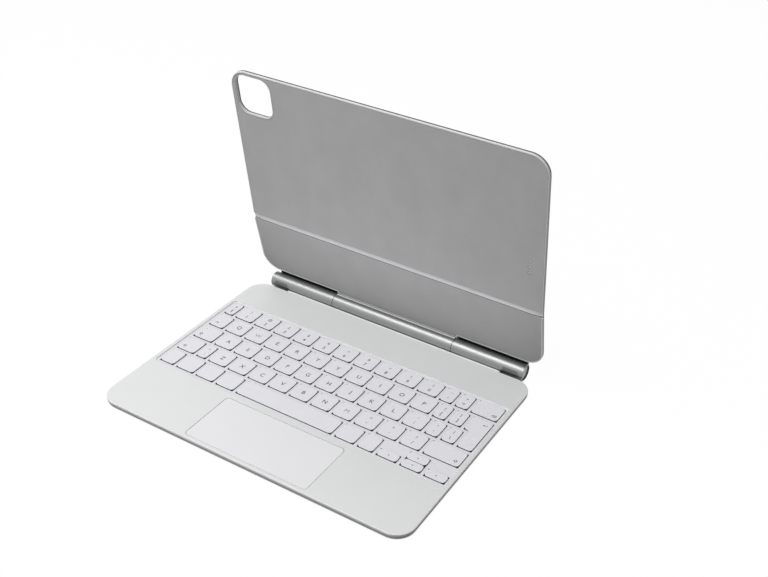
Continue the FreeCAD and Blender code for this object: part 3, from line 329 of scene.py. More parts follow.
def prism(corners: Iterable[Sequence[float]], shift: Sequence[float]) -> Mesh:
    """A flat outline drawn out along a shift into a solid."""
    mesh = bmesh.new()
    outline = mesh.faces.new([mesh.verts.new(corner) for corner in corners])
    raised = ops.extrude_face_region(mesh, geom=[outline])["geom"]
    ops.translate(mesh, verts=[item for item in raised if isinstance(item, Vert)], vec=shift)
    ops.recalc_face_normals(mesh, faces=mesh.faces)
    return mesh


def bevel(mesh: Mesh, edges: Iterable[Edge], offset: float, segments: int) -> None:
    """Rounds edges to a width with so many facets."""
    ops.bevel(mesh, geom=list(edges), offset=offset, offset_type="OFFSET", segments=segments,
                    profile=0.5, affect="EDGES", clamp_overlap=True, material=-1)


def box_matrix(low: Vector, high: Vector) -> Matrix:
    """What makes a unit cube fill a box."""
    return Matrix.LocRotScale((low + high) / 2, None, high - low)


def round_block(block: Mesh, high: float, corner: float, edge: float, turns: int, steps: int) -> None:
    """Rounds a block's upright edges and then its top ones, each with so many facets."""
    bevel(block, upright(block), corner, turns)
    bevel(block, [e for e in block.edges if at_level(e, high)], edge, steps)


def rounded_block(mesh: Mesh, rect: Rect, low: float, high: float, corner: float,
                  edge: float, turns: int = 5, steps: int = 3) -> list[Face]:
    """Adds a block with rounded corners and a rounded top edge.

    Args:
        mesh: the mesh to add to.
        rect: left, front, right and back.
        low: underside.
        high: top.
        corner: radius of the upright edges.
        edge: radius of the top edge.
        turns: facets of a corner.
        steps: facets of the top edge.

    Returns:
        The block's faces.
    """
    block = bmesh.new()
    corners = Vector((*rect[:2], low)), Vector((*rect[2:], high))
    ops.create_cube(block, size=1.0, matrix=box_matrix(*corners))
    round_block(block, high, corner, edge, turns, steps)
    return merge_into(mesh, block)


def to_data(mesh: Mesh, name: str) -> bpy.types.Mesh:
    """Moves a mesh to a data block."""
    data = bpy.data.meshes.new(name)
    mesh.to_mesh(data)
    mesh.free()
    return data


def merge_into(mesh: Mesh, part: Mesh) -> list[Face]:
    """Adds one mesh to another, frees it and returns the faces added."""
    spare = to_data(part, "spare")
    before = set(mesh.faces)
    mesh.from_mesh(spare)
    bpy.data.meshes.remove(spare)
    return [face for face in mesh.faces if face not in before]


def joined(node: str) -> Mesh:
    """A copy of a CAD node's mesh with its loose triangles joined."""
    mesh = bmesh.new()
    mesh.from_mesh(frame["nodes"][node].data)
    ops.remove_doubles(mesh, verts=mesh.verts, dist=1e-6)
    return mesh


def from_node(node: str) -> Mesh:
    """A copy of a CAD node's mesh with its triangles merged into flat faces."""
    mesh = joined(node)
    ops.dissolve_limit(mesh, angle_limit=math.radians(0.6), verts=mesh.verts, edges=mesh.edges)
    return mesh


def extent(points: Iterable[Vert]) -> tuple[Vector, Vector]:
    """The lowest and highest corners of some points."""
    sides = [[vert.co[axis] for vert in points] for axis in range(3)]
    return Vector([min(side) for side in sides]), Vector([max(side) for side in sides])


def islands(mesh: Mesh) -> list[list[Vert]]:
    """The points of each separate piece of a mesh."""
    found = []
    waiting = set(mesh.verts)
    while waiting:
        island = [waiting.pop()]
        for vert in island:
            for edge in vert.link_edges:
                other = edge.other_vert(vert)
                if other in waiting:
                    waiting.remove(other)
                    island.append(other)
        found.append(island)
    return found


def rim_inset(point: Vector, low: Vector, high: Vector, corner: float) -> float:
    """How far inside a round-cornered rectangle a point lies, seen from above."""
    aside = corner - min(point.x - low.x, high.x - point.x)
    ahead = corner - min(point.y - low.y, high.y - point.y)
    return corner - (math.hypot(aside, ahead) if aside > 0 and ahead > 0 else max(aside, ahead))


def sharp(mesh: Mesh, least: float) -> list[Edge]:
    """Edges between faces that turn by more than an angle in degrees."""
    limit = math.radians(least)
    return [e for e in mesh.edges if len(e.link_faces) == 2 and e.calc_face_angle(0.0) > limit]


def middle_of(rect: Rect) -> Pair:
    """A rectangle's middle."""
    return (rect[0] + rect[2]) / 2, (rect[1] + rect[3]) / 2


def joint_place(name: str) -> Pair:
    """Where a joint's axis stands, y and z."""
    joint = next(item for item in frame["joints"] if item["name"] == name)
    return joint["pos_m"][1], joint["pos_m"][2]


def add_object(name: str, data: bpy.types.ID) -> bpy.types.Object:
    """Adds an object to the scene."""
    item = bpy.data.objects.new(name, data)
    bpy.context.scene.collection.objects.link(item)
    return item


def publish(mesh: Mesh, name: str, body: str, finishes: Sequence[Finish],
            nodes: Sequence[str], smooth: float = 35.0) -> bpy.types.Object:
    """Makes a piece of a mesh and hangs it on its body.

    Args:
        mesh: the piece's mesh, in place.
        name: the piece's name.
        body: the CAD body it rides on, or nothing for a piece that is left unattached.
        finishes: its materials, in slot order.
        nodes: the CAD nodes it stands for.
        smooth: edges that turn by less than this, in degrees, are shaded smooth.

    Returns:
        The object.
    """
    for item in (*mesh.edges, *mesh.faces):
        item.smooth = True
    for edge in sharp(mesh, smooth):
        edge.smooth = False
    data = to_data(mesh, name)
    for finish in finishes:
        data.materials.append(material(finish))
    piece = add_object(name, data)
    if body:
        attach(piece, body)
        piece.modifiers.new("even_shading", "WEIGHTED_NORMAL").keep_sharp = True
    if nodes:
        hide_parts(*nodes)
    log.info("%s: %d faces on %s", name, len(data.polygons), body)
    return piece


@dataclass
class Inside:
    """The hidden CAD pieces, which stay as they are and only get a finish."""

    plain: dict[Finish, Sequence[str]] = field(default_factory=lambda: {
        Finish.FRAME: ["base_frame"],
        Finish.BOARD: ["controller_board"],
        Finish.RUBBER: ["rubber_domes"],
        Finish.LINK: ["scissor_links", "trackpad_switch"],
        Finish.STEEL: ["key_backplate", "hinge_brackets", "hinge_screws", "hinge_shafts", "friction_clips",
                       "lid_bracket"],
        Finish.PORT: ["charging_port"],
        Finish.CORE: ["lower_core", "upper_core"],
        Finish.NICKEL: ["tablet_magnets"],
    })

    def build(self) -> None:
        """Gives each piece its material."""
        for finish, nodes in self.plain.items():
            for node in nodes:
                piece = frame["nodes"][node]
                if not piece.material_slots:
                    piece.data.materials.append(material(finish))
                for holder in piece.material_slots:
                    holder.material = material(finish)
                log.info("%s: %s", node, finish.value.name)


# --- legends


@dataclass
class Pen:
    """Draws legends on the key tops."""

    ink: float = 0.012 * MM
    line: float = 0.36 * MM
    weight: float = 0.014
    dense: tuple[str, str] = ("M", "W")
    dense_weight: float = -0.02
    capital: float = 0.7

    def text(self, body: str, size: float, x: float, y: float, z: float) -> Mesh:
        """Letters or signs of a height, centred at a place on a surface."""
        curve = bpy.data.curves.new("legend", "FONT")
        curve.body = body
        curve.size = size / self.capital
        curve.offset = (self.dense_weight if body in self.dense else self.weight) * size
        curve.resolution_u = 3
        holder = add_object("legend", curve)
        graph = bpy.context.evaluated_depsgraph_get()
        outline = bpy.data.meshes.new_from_object(holder.evaluated_get(graph))
        bpy.data.objects.remove(holder)
        bpy.data.curves.remove(curve)
        mesh = bmesh.new()
        mesh.from_mesh(outline)
        bpy.data.meshes.remove(outline)
        self.settle(mesh, x, y, z)
        return mesh

    def settle(self, mesh: Mesh, x: float, y: float, z: float) -> None:
        """Centres a flat drawing at a place, the ink's thickness above a surface."""
        ops.remove_doubles(mesh, verts=mesh.verts, dist=1e-7)
        low, high = extent(mesh.verts)
        shift = Vector((x, y, z + self.ink)) - (low + high) / 2
        ops.translate(mesh, verts=mesh.verts, vec=shift)

    def strokes(self, lines: Sequence[Points], size: float, x: float, y: float, z: float) -> Mesh:
        """Plain strokes along runs of points, in units of the size, centred at a place on a surface."""
        mesh = bmesh.new()
        for line in lines:
            for start, end in zip(line, line[1:]):
                a, b = Vector(start) * size, Vector(end) * size
                along = (b - a).normalized() * self.line / 2
                side = Vector((-along.y, along.x))
                corners = [a - along - side, b + along - side, b + along + side, a - along + side]
                mesh.faces.new([mesh.verts.new((c.x, c.y, 0)) for c in corners])
        self.settle(mesh, x, y, z)
        return mesh

    def patch(self, corners: Points, size: float, x: float, y: float, z: float) -> Mesh:
        """A filled shape, its corners in units of the size, centred at a place on a surface."""
        mesh = bmesh.new()
        mesh.faces.new([mesh.verts.new((a * size, b * size, 0)) for a, b in corners])
        self.settle(mesh, x, y, z)
        return mesh


ARROW_RIGHT = [[(-1, 0), (1, 0)], [(0.4, 0.6), (1, 0), (0.4, -0.6)]]
ARROW_TAB = ARROW_RIGHT + [[(1.35, 0.6), (1.35, -0.6)]]
ARROW_ENTER = [[(1, 0.9), (1, 0), (-1, 0)], [(-0.4, 0.6), (-1, 0), (-0.4, -0.6)]]
ARROW_SHIFT = [[(-1, 0), (0, 1), (1, 0), (0.45, 0), (0.45, -0.8), (-0.45, -0.8), (-0.45, 0), (-1, 0)]]
ARROW_LOCK = ARROW_SHIFT + [[(-0.45, -1.25), (0.45, -1.25)]]
ARROW_BACK = [[(-1.4, 0), (-0.6, 0.8), (1.2, 0.8), (1.2, -0.8), (-0.6, -0.8), (-1.4, 0)],
              [(-0.15, 0.35), (0.55, -0.35)], [(-0.15, -0.35), (0.55, 0.35)]]
TRIANGLES = {
    "left": [(-0.6, 0), (0.5, -0.6), (0.5, 0.6)],
    "right": [(0.6, 0), (-0.5, 0.6), (-0.5, -0.6)],
    "up": [(0, 0.6), (-0.6, -0.5), (0.6, -0.5)],
    "down": [(0, -0.6), (0.6, 0.5), (-0.6, 0.5)],
}


# --- keys


@dataclass
class KeyField:
    """The key caps, their legends and the web they stand in."""

    corner: float = 2.6 * MM
    edge: float = 0.22 * MM
    letter: float = 3.6 * MM
    digit: float = 3.1 * MM
    mark: float = 2.6 * MM
    rise: float = 3.0 * MM
    icon: float = 1.25 * MM
    arrow: float = 1.1 * MM
    lamp: float = 0.35 * MM
    lamp_inset: float = 3.4 * MM
    inset: Pair = (4.0 * MM, 4.6 * MM)
    erase_rise: float = 4.2 * MM
    enter_inset: Pair = (4.2 * MM, 5.2 * MM)
    cad_corner: float = 1.3 * MM
    row_step: float = 5.0 * MM
    turns: int = 6
    pen: Pen = field(default_factory=Pen)

    def boxes(self, node: str) -> list[Cap]:
        """The rectangle, underside and top of a node's caps, from the back row to the front."""
        mesh, found = joined(node), []
        for island in islands(mesh):
            low, high = extent(island)
            found.append(((low.x, low.y, high.x, high.y), low.z, high.z))
        mesh.free()
        return sorted(found, key=lambda item: (-round(item[0][1] / self.row_step), item[0][0]))

    def caps(self, node: str) -> tuple[Mesh, list[Cap]]:
        """A node's plain caps with light tops and walls painted dark as the shade round them, and their
        boxes.
        """
        mesh, boxes = bmesh.new(), self.boxes(node)
        for box in boxes:
            self.paint_wall_shade(rounded_block(mesh, *box, self.corner, self.edge, self.turns))
        return mesh, boxes

    def paint_wall_shade(self, faces: Iterable[Face]) -> None:
        """Gives faces that look up the light finish and the others the dark one, painted shade for the walls.
        """
        for face in faces:
            # faces that do not look up get the dark finish as painted shade
            face.material_index = int(face.normal.z <= TOP_FACING)

    def mark_cap(self, mesh: Mesh, drawing: Mesh) -> None:
        """Adds a drawing as ink."""
        for face in merge_into(mesh, drawing):
            face.material_index = 2
            if face.normal.z < 0:
                face.normal_flip()

    def letters(self) -> None:
        """Builds the twenty-six letter keys."""
        for letter in "qwertyuiopasdfghjklzxcvbnm":
            node = "key_" + letter
            mesh, [(rect, _, high)] = self.caps(node)
            self.mark_cap(mesh, self.pen.text(letter.upper(), self.letter, *middle_of(rect), high))
            self.finish_caps(mesh, "cap_" + letter, node)

    def finish_caps(self, mesh: Mesh, name: str, node: str) -> None:
        """Publishes one node's caps."""
        publish(mesh, name, node, (Finish.KEY_TOP, Finish.KEY_WALL_SHADE, Finish.INK), [node])

    def stacked(self, mesh: Mesh, caps: Sequence[Cap], pairs: Sequence[str]) -> None:
        """Draws a pair of signs on each cap's top, the first one at the back."""
        for (rect, _, high), (upper, lower) in zip(caps, pairs):
            x, y = middle_of(rect)
            self.mark_cap(mesh, self.pen.text(upper, self.mark, x, y + self.rise, high))
            self.mark_cap(mesh, self.pen.text(lower, self.digit, x, y - self.rise, high))

    def number_row(self) -> None:
        """Builds the back row with its digits and the erase key."""
        signs = "±§ !1 @2 £3 $4 %5 ^6 &7 *8 (9 )0 _- +=".split()
        mesh, caps = self.caps("number_row_keys")
        self.stacked(mesh, caps, signs)
        (_, front, right, _), _, high = caps[-1]
        place = (right - self.inset[0], front + self.erase_rise)
        self.mark_cap(mesh, self.pen.strokes(ARROW_BACK, self.icon, *place, high))
        self.finish_caps(mesh, "caps_number_row", "number_row_keys")

    def punctuation(self) -> None:
        """Builds the punctuation keys."""
        signs = "{[ }] :; \"' |\\ ~` <, >. ?/".split()
        mesh, caps = self.caps("punctuation_keys")
        self.stacked(mesh, caps, signs)
        self.finish_caps(mesh, "caps_punctuation", "punctuation_keys")

    def modifiers(self) -> None:
        """Builds the keys round the field; the front row's are left plain."""
        mesh, caps = self.caps("modifier_keys")
        aside, ahead = self.inset
        for (rect, _, high), lines in zip(caps, (ARROW_TAB, ARROW_LOCK, ARROW_SHIFT, ARROW_SHIFT)):
            x = rect[2] - aside if rect[0] > 0 else rect[0] + aside
            self.mark_cap(mesh, self.pen.strokes(lines, self.icon, x, rect[1] + ahead, high))
        (left, _, _, back), _, high = caps[1]
        ring = [(math.cos(a * math.pi / 6), math.sin(a * math.pi / 6)) for a in range(12)]
        place = (left + aside, back - self.lamp_inset)
        self.mark_cap(mesh, self.pen.patch(ring, self.lamp, *place, high))
        self.finish_caps(mesh, "caps_modifier", "modifier_keys")

    def arrows(self) -> None:
        """Builds the four arrow keys."""
        mesh, caps = self.caps("arrow_keys")
        caps.sort(key=lambda item: (item[0][0], -item[0][1]))
        for (rect, _, high), way in zip(caps, ("left", "up", "down", "right")):
            self.mark_cap(mesh, self.pen.patch(TRIANGLES[way], self.arrow, *middle_of(rect), high))
        self.finish_caps(mesh, "caps_arrow", "arrow_keys")

    def long_keys(self) -> None:
        """Builds the space bar and the bent enter key."""
        self.finish_caps(self.caps("space_bar")[0], "cap_space", "space_bar")
        rect, low, high = self.boxes("enter_key")[0]
        mesh = prism([(x, y, low) for x, y in self.enter_corners(rect)], (0, 0, high - low))
        round_block(mesh, high, self.corner, self.edge, self.turns, 3)
        self.paint_wall_shade(mesh.faces)
        place = (rect[2] - self.enter_inset[0], rect[3] - self.enter_inset[1])
        self.mark_cap(mesh, self.pen.strokes(ARROW_ENTER, self.icon, *place, high))
        self.finish_caps(mesh, "cap_enter", "enter_key")

    def enter_corners(self, rect: Rect) -> Points:
        """The enter key's six corners, anticlockwise, with its step read from the CAD node."""
        left, front, right, back = rect
        verts = [vert.co for vert in frame["nodes"]["enter_key"].data.vertices]
        step = min(co.x for co in verts if co.y < front + NEAR) - self.cad_corner
        shelf = min(co.y for co in verts if co.x < left + NEAR) - self.cad_corner
        return [(step, front), (right, front), (right, back), (left, back), (left, shelf), (step, shelf)]

    def build(self) -> None:
        """Builds every key and what the caps stand in."""
        self.letters()
        self.number_row()
        self.punctuation()
        self.modifiers()
        self.arrows()
        self.long_keys()
        publish(from_node("key_web"), "web", "base", (Finish.KEY_WEB,), ["key_web"], 20)


# --- base


@dataclass
class Base:
    """The thin base: deck, cover, trackpad and what is inside."""

    deck_edge: float = 0.2 * MM
    deck_rim_painted_highlight: float = 2.0 * MM
    cover_round: float = 2.3 * MM
    cover_cuts: int = 5
    cover_chamfer: float = 0.9 * MM
    shade_top: float = 3.1 * MM
    pad_edge: float = 0.12 * MM
    pad_corner: float = 2.6 * MM
    base_corner: float = 14.0 * MM
    tongue_half: float = 96.2 * MM
    rear_step: float = 1.6 * MM

    def deck(self) -> None:
        """Builds the deck sheet with softened edges and a painted highlight on its rear rim."""
        mesh = from_node("deck_skin")
        bevel(mesh, sharp(mesh, 30), self.deck_edge, 2)
        rear = extent(mesh.verts)[1].y - self.deck_rim_painted_highlight
        cut(mesh, rear, 1)
        # top faces along the rear rim get the lighter finish, a painted highlight
        for face in mesh.faces:
            face.material_index = int(face.calc_center_median().y > rear and face.normal.z > TOP_FACING)
        publish(mesh, "deck", "base", (Finish.DECK, Finish.DECK_RIM_HIGHLIGHT), ["deck_skin"])

    def cover(self) -> None:
        """Builds the lower cover with a rounded underside edge whose lower side faces carry painted shade,
        darker towards the bottom.
        """
        mesh = from_node("base_skin")
        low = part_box("base_skin")[0].z
        size = self.cover_round
        for step in range(1, self.cover_cuts + 1):
            cut(mesh, low + size * (1 - math.cos(math.pi / 2 * step / self.cover_cuts)), 2)
        cut(mesh, low + self.shade_top, 2)
        moves = {}
        for vert in mesh.verts:
            up = vert.co.z - low
            if up > size - 1e-7 or not self.on_rim(vert.co, up):
                continue
            normals = [f.normal for f in vert.link_faces]
            out = sum((n.xy.normalized() for n in normals if n.xy.length > 0.3 and n.z < 0.5), Vector((0, 0)))
            if out.dot(vert.co.xy) > 0:
                inset = size - math.sqrt(size * size - (size - up) ** 2)
                moves[vert] = out.normalized() * (max(0.0, self.cover_chamfer - up) - inset)
        for vert, move in moves.items():
            vert.co.xy += move
        # side faces low on the cover get darker finishes as painted shade
        for face in (item for item in mesh.faces if abs(item.normal.z) < 0.99):
            height = face.calc_center_median().z - low
            face.material_index = (height < self.shade_top) + (height < size)
        finishes = (Finish.COVER, Finish.UNDER_HALF_SHADE, Finish.UNDER)
        publish(mesh, "lower_cover", "base", finishes, ["base_skin"])

    def on_rim(self, point: Vector, up: float) -> bool:
        """Says whether a point so far above the cover's lowest face lies on its outer face."""
        low, high = (corner.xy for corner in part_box("base_skin"))
        if abs(point.x) > self.tongue_half:
            high.y -= self.rear_step
        back = max(0.0, self.cover_chamfer - up)
        setback = Vector((back, back))
        return rim_inset(point, low + setback, high - setback, self.base_corner - back) < NEAR

    def trackpad(self) -> None:
        """Builds the trackpad plate."""
        low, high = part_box("trackpad_plate")
        mesh = bmesh.new()
        rounded_block(mesh, (*low.xy, *high.xy), low.z, high.z, self.pad_corner, self.pad_edge, 8, 2)
        publish(mesh, "trackpad", "trackpad", (Finish.GLASS,), ["trackpad_plate"])

    def build(self) -> None:
        """Builds the base."""
        self.deck()
        self.cover()
        self.trackpad()


# --- barrel


@dataclass
class Barrel:
    """The hinge barrel along the rear edge."""

    radius: float = 6.2 * MM
    soft: float = 0.15 * MM
    facets: int = 96
    ring: float = 0.3 * MM
    wall: float = 5.55 * MM
    dish: float = 5.15 * MM
    dish_depth: float = 1.0 * MM
    spigot: float = 4.9 * MM
    spigot_depth: float = 2.0 * MM
    cuts: int = 3
    reflection_span: Pair = (96.4 * MM, 110.6 * MM)
    reflection_arc: Pair = (-22.0, 26.0)
    pad_corner: float = 1.6 * MM
    reflection_rise: float = 0.015 * MM
    reflection_grid: tuple[int, int] = (12, 8)

    def reach(self, point: Vector) -> float:
        """A point's distance from the hinge axis."""
        y, z = joint_place("lid_hinge")
        return math.hypot(point.y - y, point.z - z)

    def turned(self, profile: Points) -> Mesh:
        """Turns an open profile of stations along X and radii about the hinge axis."""
        y, z = joint_place("lid_hinge")
        mesh = bmesh.new()
        verts = [mesh.verts.new((x, y, z + r)) for x, r in profile]
        edges = [mesh.edges.new(pair) for pair in zip(verts, verts[1:])]
        ops.spin(mesh, geom=verts + edges, cent=(0, y, z), axis=(1, 0, 0), angle=2 * math.pi,
                       steps=self.facets, use_merge=True)
        ops.remove_doubles(mesh, verts=mesh.verts, dist=1e-7)
        return mesh

    def tubes(self) -> None:
        """Builds the middle tube with its tang and the two end tubes, each end tube with a painted dark
        reflection patch.
        """
        for node, name, body in (("centre_barrel", "middle_tube", "lower_lid"),
                                 ("outer_barrels", "end_tubes", "base")):
            mesh = from_node(node)
            self.rounder(mesh)
            bevel(mesh, [e for e in sharp(mesh, 60) if self.on_rim(e)], self.soft, 2)
            # each end tube gets a painted reflection patch
            for side in ((-1, 1) if body == "base" else ()):
                for face in merge_into(mesh, self.reflection_patch(side)):
                    face.material_index = 1
            publish(mesh, name, body, (Finish.BARREL, Finish.BARREL_REFLECTION), [node], 25)

    def reflection_patch(self, side: int) -> Mesh:
        """A dark patch of painted reflection on the lower front of an end tube, side -1 for the left and 1
        for the right.
        """
        y, z = joint_place("lid_hinge")
        start, end = self.reflection_span
        low, high = (math.radians(a) for a in self.reflection_arc)
        reach = self.radius + self.reflection_rise
        along, across = self.reflection_grid
        mesh = bmesh.new()
        rows = []
        for x in (start + (end - start) * i / along for i in range(along + 1)):
            aside = max(0.0, 1 - min(x - start, end - x) / self.pad_corner)
            drop = self.pad_corner * (1 - math.sqrt(1 - aside * aside)) / self.radius
            angles = [low + (high - drop - low) * j / across for j in range(across + 1)]
            rows.append([mesh.verts.new((side * x, y - reach * math.cos(a), z + reach * math.sin(a)))
                         for a in angles])
        for one, two in zip(rows, rows[1:]):
            for a, b, c, d in zip(one, two, two[1:], one[1:]):
                mesh.faces.new((a, b, c, d)[::side])
        return mesh

    def rounder(self, mesh: Mesh) -> None:
        """Divides a tube's outer facets and moves the new points out to its radius."""
        y, z = joint_place("lid_hinge")
        arcs = [e for e in mesh.edges if self.on_rim(e) and e.calc_length() < self.radius / 2
                and all(self.reach(v.co) < self.radius + NEAR for v in e.verts)]
        made = ops.subdivide_edges(mesh, edges=arcs, cuts=self.cuts)["geom_inner"]
        for vert in (item for item in made if isinstance(item, Vert)):
            share = self.radius / self.reach(vert.co)
            vert.co.yz = y + (vert.co.y - y) * share, z + (vert.co.z - z) * share

    def on_rim(self, edge: Edge) -> bool:
        """Says whether an edge lies on the round outer rim of a tube's end."""
        across = abs(edge.verts[0].co.x - edge.verts[1].co.x) < TIGHT
        return across and min(self.reach(vert.co) for vert in edge.verts) > self.radius - NEAR

    def right_cap(self) -> Mesh:
        """The plain end plug: a thin bright edge, a dark ring and a sunk disc."""
        start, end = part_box("outer_barrels")[1].x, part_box("end_caps")[1].x
        back, inner = end - self.dish_depth, start - self.spigot_depth
        lip = self.radius - self.ring
        mesh = self.turned([(inner, 0.0), (inner, self.spigot), (start, self.spigot), (start, self.radius),
                            (end - self.ring, self.radius), (end - self.ring * 0.3, lip + self.ring * 0.7),
                            (end, lip), (end, self.wall), (back, self.dish), (back, 0.0)])
        ops.recalc_face_normals(mesh, faces=mesh.faces)
        for face in mesh.faces:
            middle = face.calc_center_median()
            if middle.x > back - 10 * TIGHT:
                reach = self.reach(middle)
                face.material_index = (reach < lip) + (reach < self.dish)
        return mesh

    def left_cap(self) -> Mesh:
        """The end plug that holds the charging socket."""
        mesh = from_node("end_caps")
        ops.delete(mesh, geom=[vert for vert in mesh.verts if vert.co.x > 0], context="VERTS")
        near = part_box("end_caps")[0].x + NEAR
        outer = [e for e in sharp(mesh, 30) if all(vert.co.x < near for vert in e.verts)]
        bevel(mesh, outer, self.soft, 2)
        return mesh

    def caps(self) -> None:
        """Builds the end plugs."""
        mesh = bmesh.new()
        merge_into(mesh, self.right_cap())
        merge_into(mesh, self.left_cap())
        finishes = (Finish.BARREL, Finish.PLUG, Finish.DISC)
        publish(mesh, "end_plugs", "base", finishes, ["end_caps"], 30)

    def build(self) -> None:
        """Builds the barrel."""
        self.tubes()
        self.caps()


# --- lid


@dataclass(frozen=True)
class Panel:
    """A lid panel's own frame: x across, y up the panel, z out of its inner face."""

    name: str
    body: str
    joint: str
    lean: float

    def frame(self) -> Matrix:
        """The turn and place that stand the panel up."""
        turn = Matrix.Rotation(math.radians(90 + self.lean), 4, "X")
        return Matrix.Translation((0, *joint_place(self.joint))) @ turn

    def flat(self, node: str) -> Mesh:
        """A node's mesh laid flat in the panel's frame."""
        mesh = from_node(node)
        ops.transform(mesh, matrix=self.frame().inverted(), verts=mesh.verts)
        return mesh

    def stand(self, mesh: Mesh) -> None:
        """Stands a flat mesh up."""
        ops.transform(mesh, matrix=self.frame(), verts=mesh.verts)


LOWER = Panel("lower", "lower_lid", "lid_hinge", 13.2)
UPPER = Panel("upper", "upper_lid", "fold_hinge", 8.6)


@dataclass
class Lid:
    """The two lid panels and the crease between them."""

    rim_round: float = 0.7 * MM
    back_round: float = 0.3 * MM
    liner_edge: float = 0.15 * MM
    pin_radius: float = 1.2 * MM
    pin_dome: float = 0.35 * MM
    pin_facets: int = 32
    shade_width: float = 1.1 * MM
    back_bevel: float = 1.1 * MM
    lip_half: float = 53.3 * MM
    lip_arc: Pair = (106.0, 138.0)
    lip_line: float = 10.0
    lip_facets: int = 14
    gap_shade_arc: Pair = (89.0, 107.0)
    gap_shade_radius: Pair = (6.202 * MM, 6.23 * MM)
    lip_radius: Pair = (6.21 * MM, 6.5 * MM)
    window_place: Pair = (4.0 * MM, 2.9 * MM)
    window_rim: float = 1.2 * MM
    window_size: float = 31.0 * MM
    corner: float = 14.0 * MM
    inset_near: float = 0.02 * MM
    back_zone: float = 1.0 * MM
    strip_bands: int = 8
    strip_cuts: int = 31
    strip_lift: float = 0.9 * MM
    strip_reach: Pair = (0.22 * MM, 0.42 * MM)
    strip_taper: float = 3.0 * MM

    def shell(self, panel: Panel) -> None:
        """Builds a panel's outer cover with its rounded rim."""
        node = panel.name + "_back_skin"
        mesh = panel.flat(node)
        low, high = extent(mesh.verts)
        middle = ((low + high) / 2).xy

        def outward(edge: Edge) -> bool:
            """Says whether the edge's upright face looks away from the panel's middle."""
            sides = [f.normal for f in edge.link_faces if abs(f.normal.z) < 0.5]
            centre = (edge.verts[0].co + edge.verts[1].co) / 2
            return any(n.xy.dot(centre.xy - middle) > 0 for n in sides)

        outer = [e for e in sharp(mesh, 60) if at_level(e, high.z, 10 * TIGHT) and outward(e)
                 and self.inset(e, low, high) < self.inset_near]
        back = [e for e in sharp(mesh, 30) if max(v.co.z for v in e.verts) < low.z + self.back_zone
                and self.inset(e, low, high) < self.back_zone]
        bevel(mesh, outer, self.rim_round, 5)
        bevel(mesh, [e for e in back if e.is_valid], self.back_round, 3)
        # painted shade along the rear of the rim and round the window
        self.paint_edge_shade(mesh, low, high)
        panel.stand(mesh)
        finishes = (Finish.COVER, Finish.EDGE, Finish.LINER)
        publish(mesh, panel.name + "_shell", panel.body, finishes, [node], 40)

    def inset(self, edge: Edge, low: Vector, high: Vector) -> float:
        """How far inside the outline between two corners an edge of a flat panel goes."""
        return max(rim_inset(vert.co, low, high, self.corner) for vert in edge.verts)

    def paint_edge_shade(self, mesh: Mesh, low: Vector, high: Vector) -> None:
        """Paints shade on the rear part of a flat shell's upward edges and the window's walls, and lines the
        window's front rim.
        """
        near, far = low.z + self.shade_width, low.z + self.shade_width + self.back_bevel
        cut(mesh, near, 2)
        cut(mesh, far, 2)
        aside, ahead = self.window_place
        left, top = low.x + aside - self.window_rim, high.y - ahead + self.window_rim
        width = self.window_size + 2 * self.window_rim
        for face in mesh.faces:
            inside = all(left <= v.co.x <= left + width and top - width <= v.co.y <= top for v in face.verts)
            middle, normal = face.calc_center_median(), face.normal
            # upward walls near the rear get the dark finish as painted shade
            faces_up = normal.z > -0.9 and (normal.y > 0.25 or inside and normal.x > 0.2)
            if faces_up and middle.z < (near if inside else far):
                face.material_index = 1
            elif inside and normal.z > 0.9:
                face.material_index = 2

    def lining(self, panel: Panel) -> None:
        """Builds a panel's soft lining."""
        node = panel.name + "_liner"
        mesh = panel.flat(node)
        high = extent(mesh.verts)[1].z
        bevel(mesh, [e for e in sharp(mesh, 60) if at_level(e, high, 10 * TIGHT)], self.liner_edge, 2)
        if panel is LOWER:
            self.add_lip(mesh)
        panel.stand(mesh)
        finishes = (Finish.LINER, Finish.COVER, Finish.EDGE)
        publish(mesh, panel.name + "_lining", panel.body, finishes, [node], 40)

    def add_lip(self, mesh: Mesh) -> None:
        """Carries the flat lower lining over the middle tube, with a light edge above a dark slat of painted
        shade in the gap.
        """
        edge = math.radians(self.lip_arc[0] + self.lip_line)
        for face in merge_into(mesh, self.slat(self.lip_arc, self.lip_radius)):
            middle = face.calc_center_median()
            face.material_index = int(math.atan2(middle.y, middle.z) < edge and abs(face.normal.x) < 0.5)
        # the gap slat is a dark sheet of painted shade over the tube
        for face in merge_into(mesh, self.slat(self.gap_shade_arc, self.gap_shade_radius)):
            face.material_index = 2

    def slat(self, arc: Pair, radius: Pair) -> Mesh:
        """A thin flat-frame slat about the hinge axis, between two angles in degrees and two radii."""
        start, end = (math.radians(a) for a in arc)
        inner, outer = radius
        angles = [start + (end - start) * step / self.lip_facets for step in range(1, self.lip_facets + 1)]
        points = [(inner, start + 0.01), ((inner + outer) / 2, start)]
        points += [(outer, a) for a in angles] + [(inner, a) for a in reversed(angles)]
        half = self.lip_half
        return prism([(-half, r * math.sin(a), r * math.cos(a)) for r, a in points], (2 * half, 0, 0))

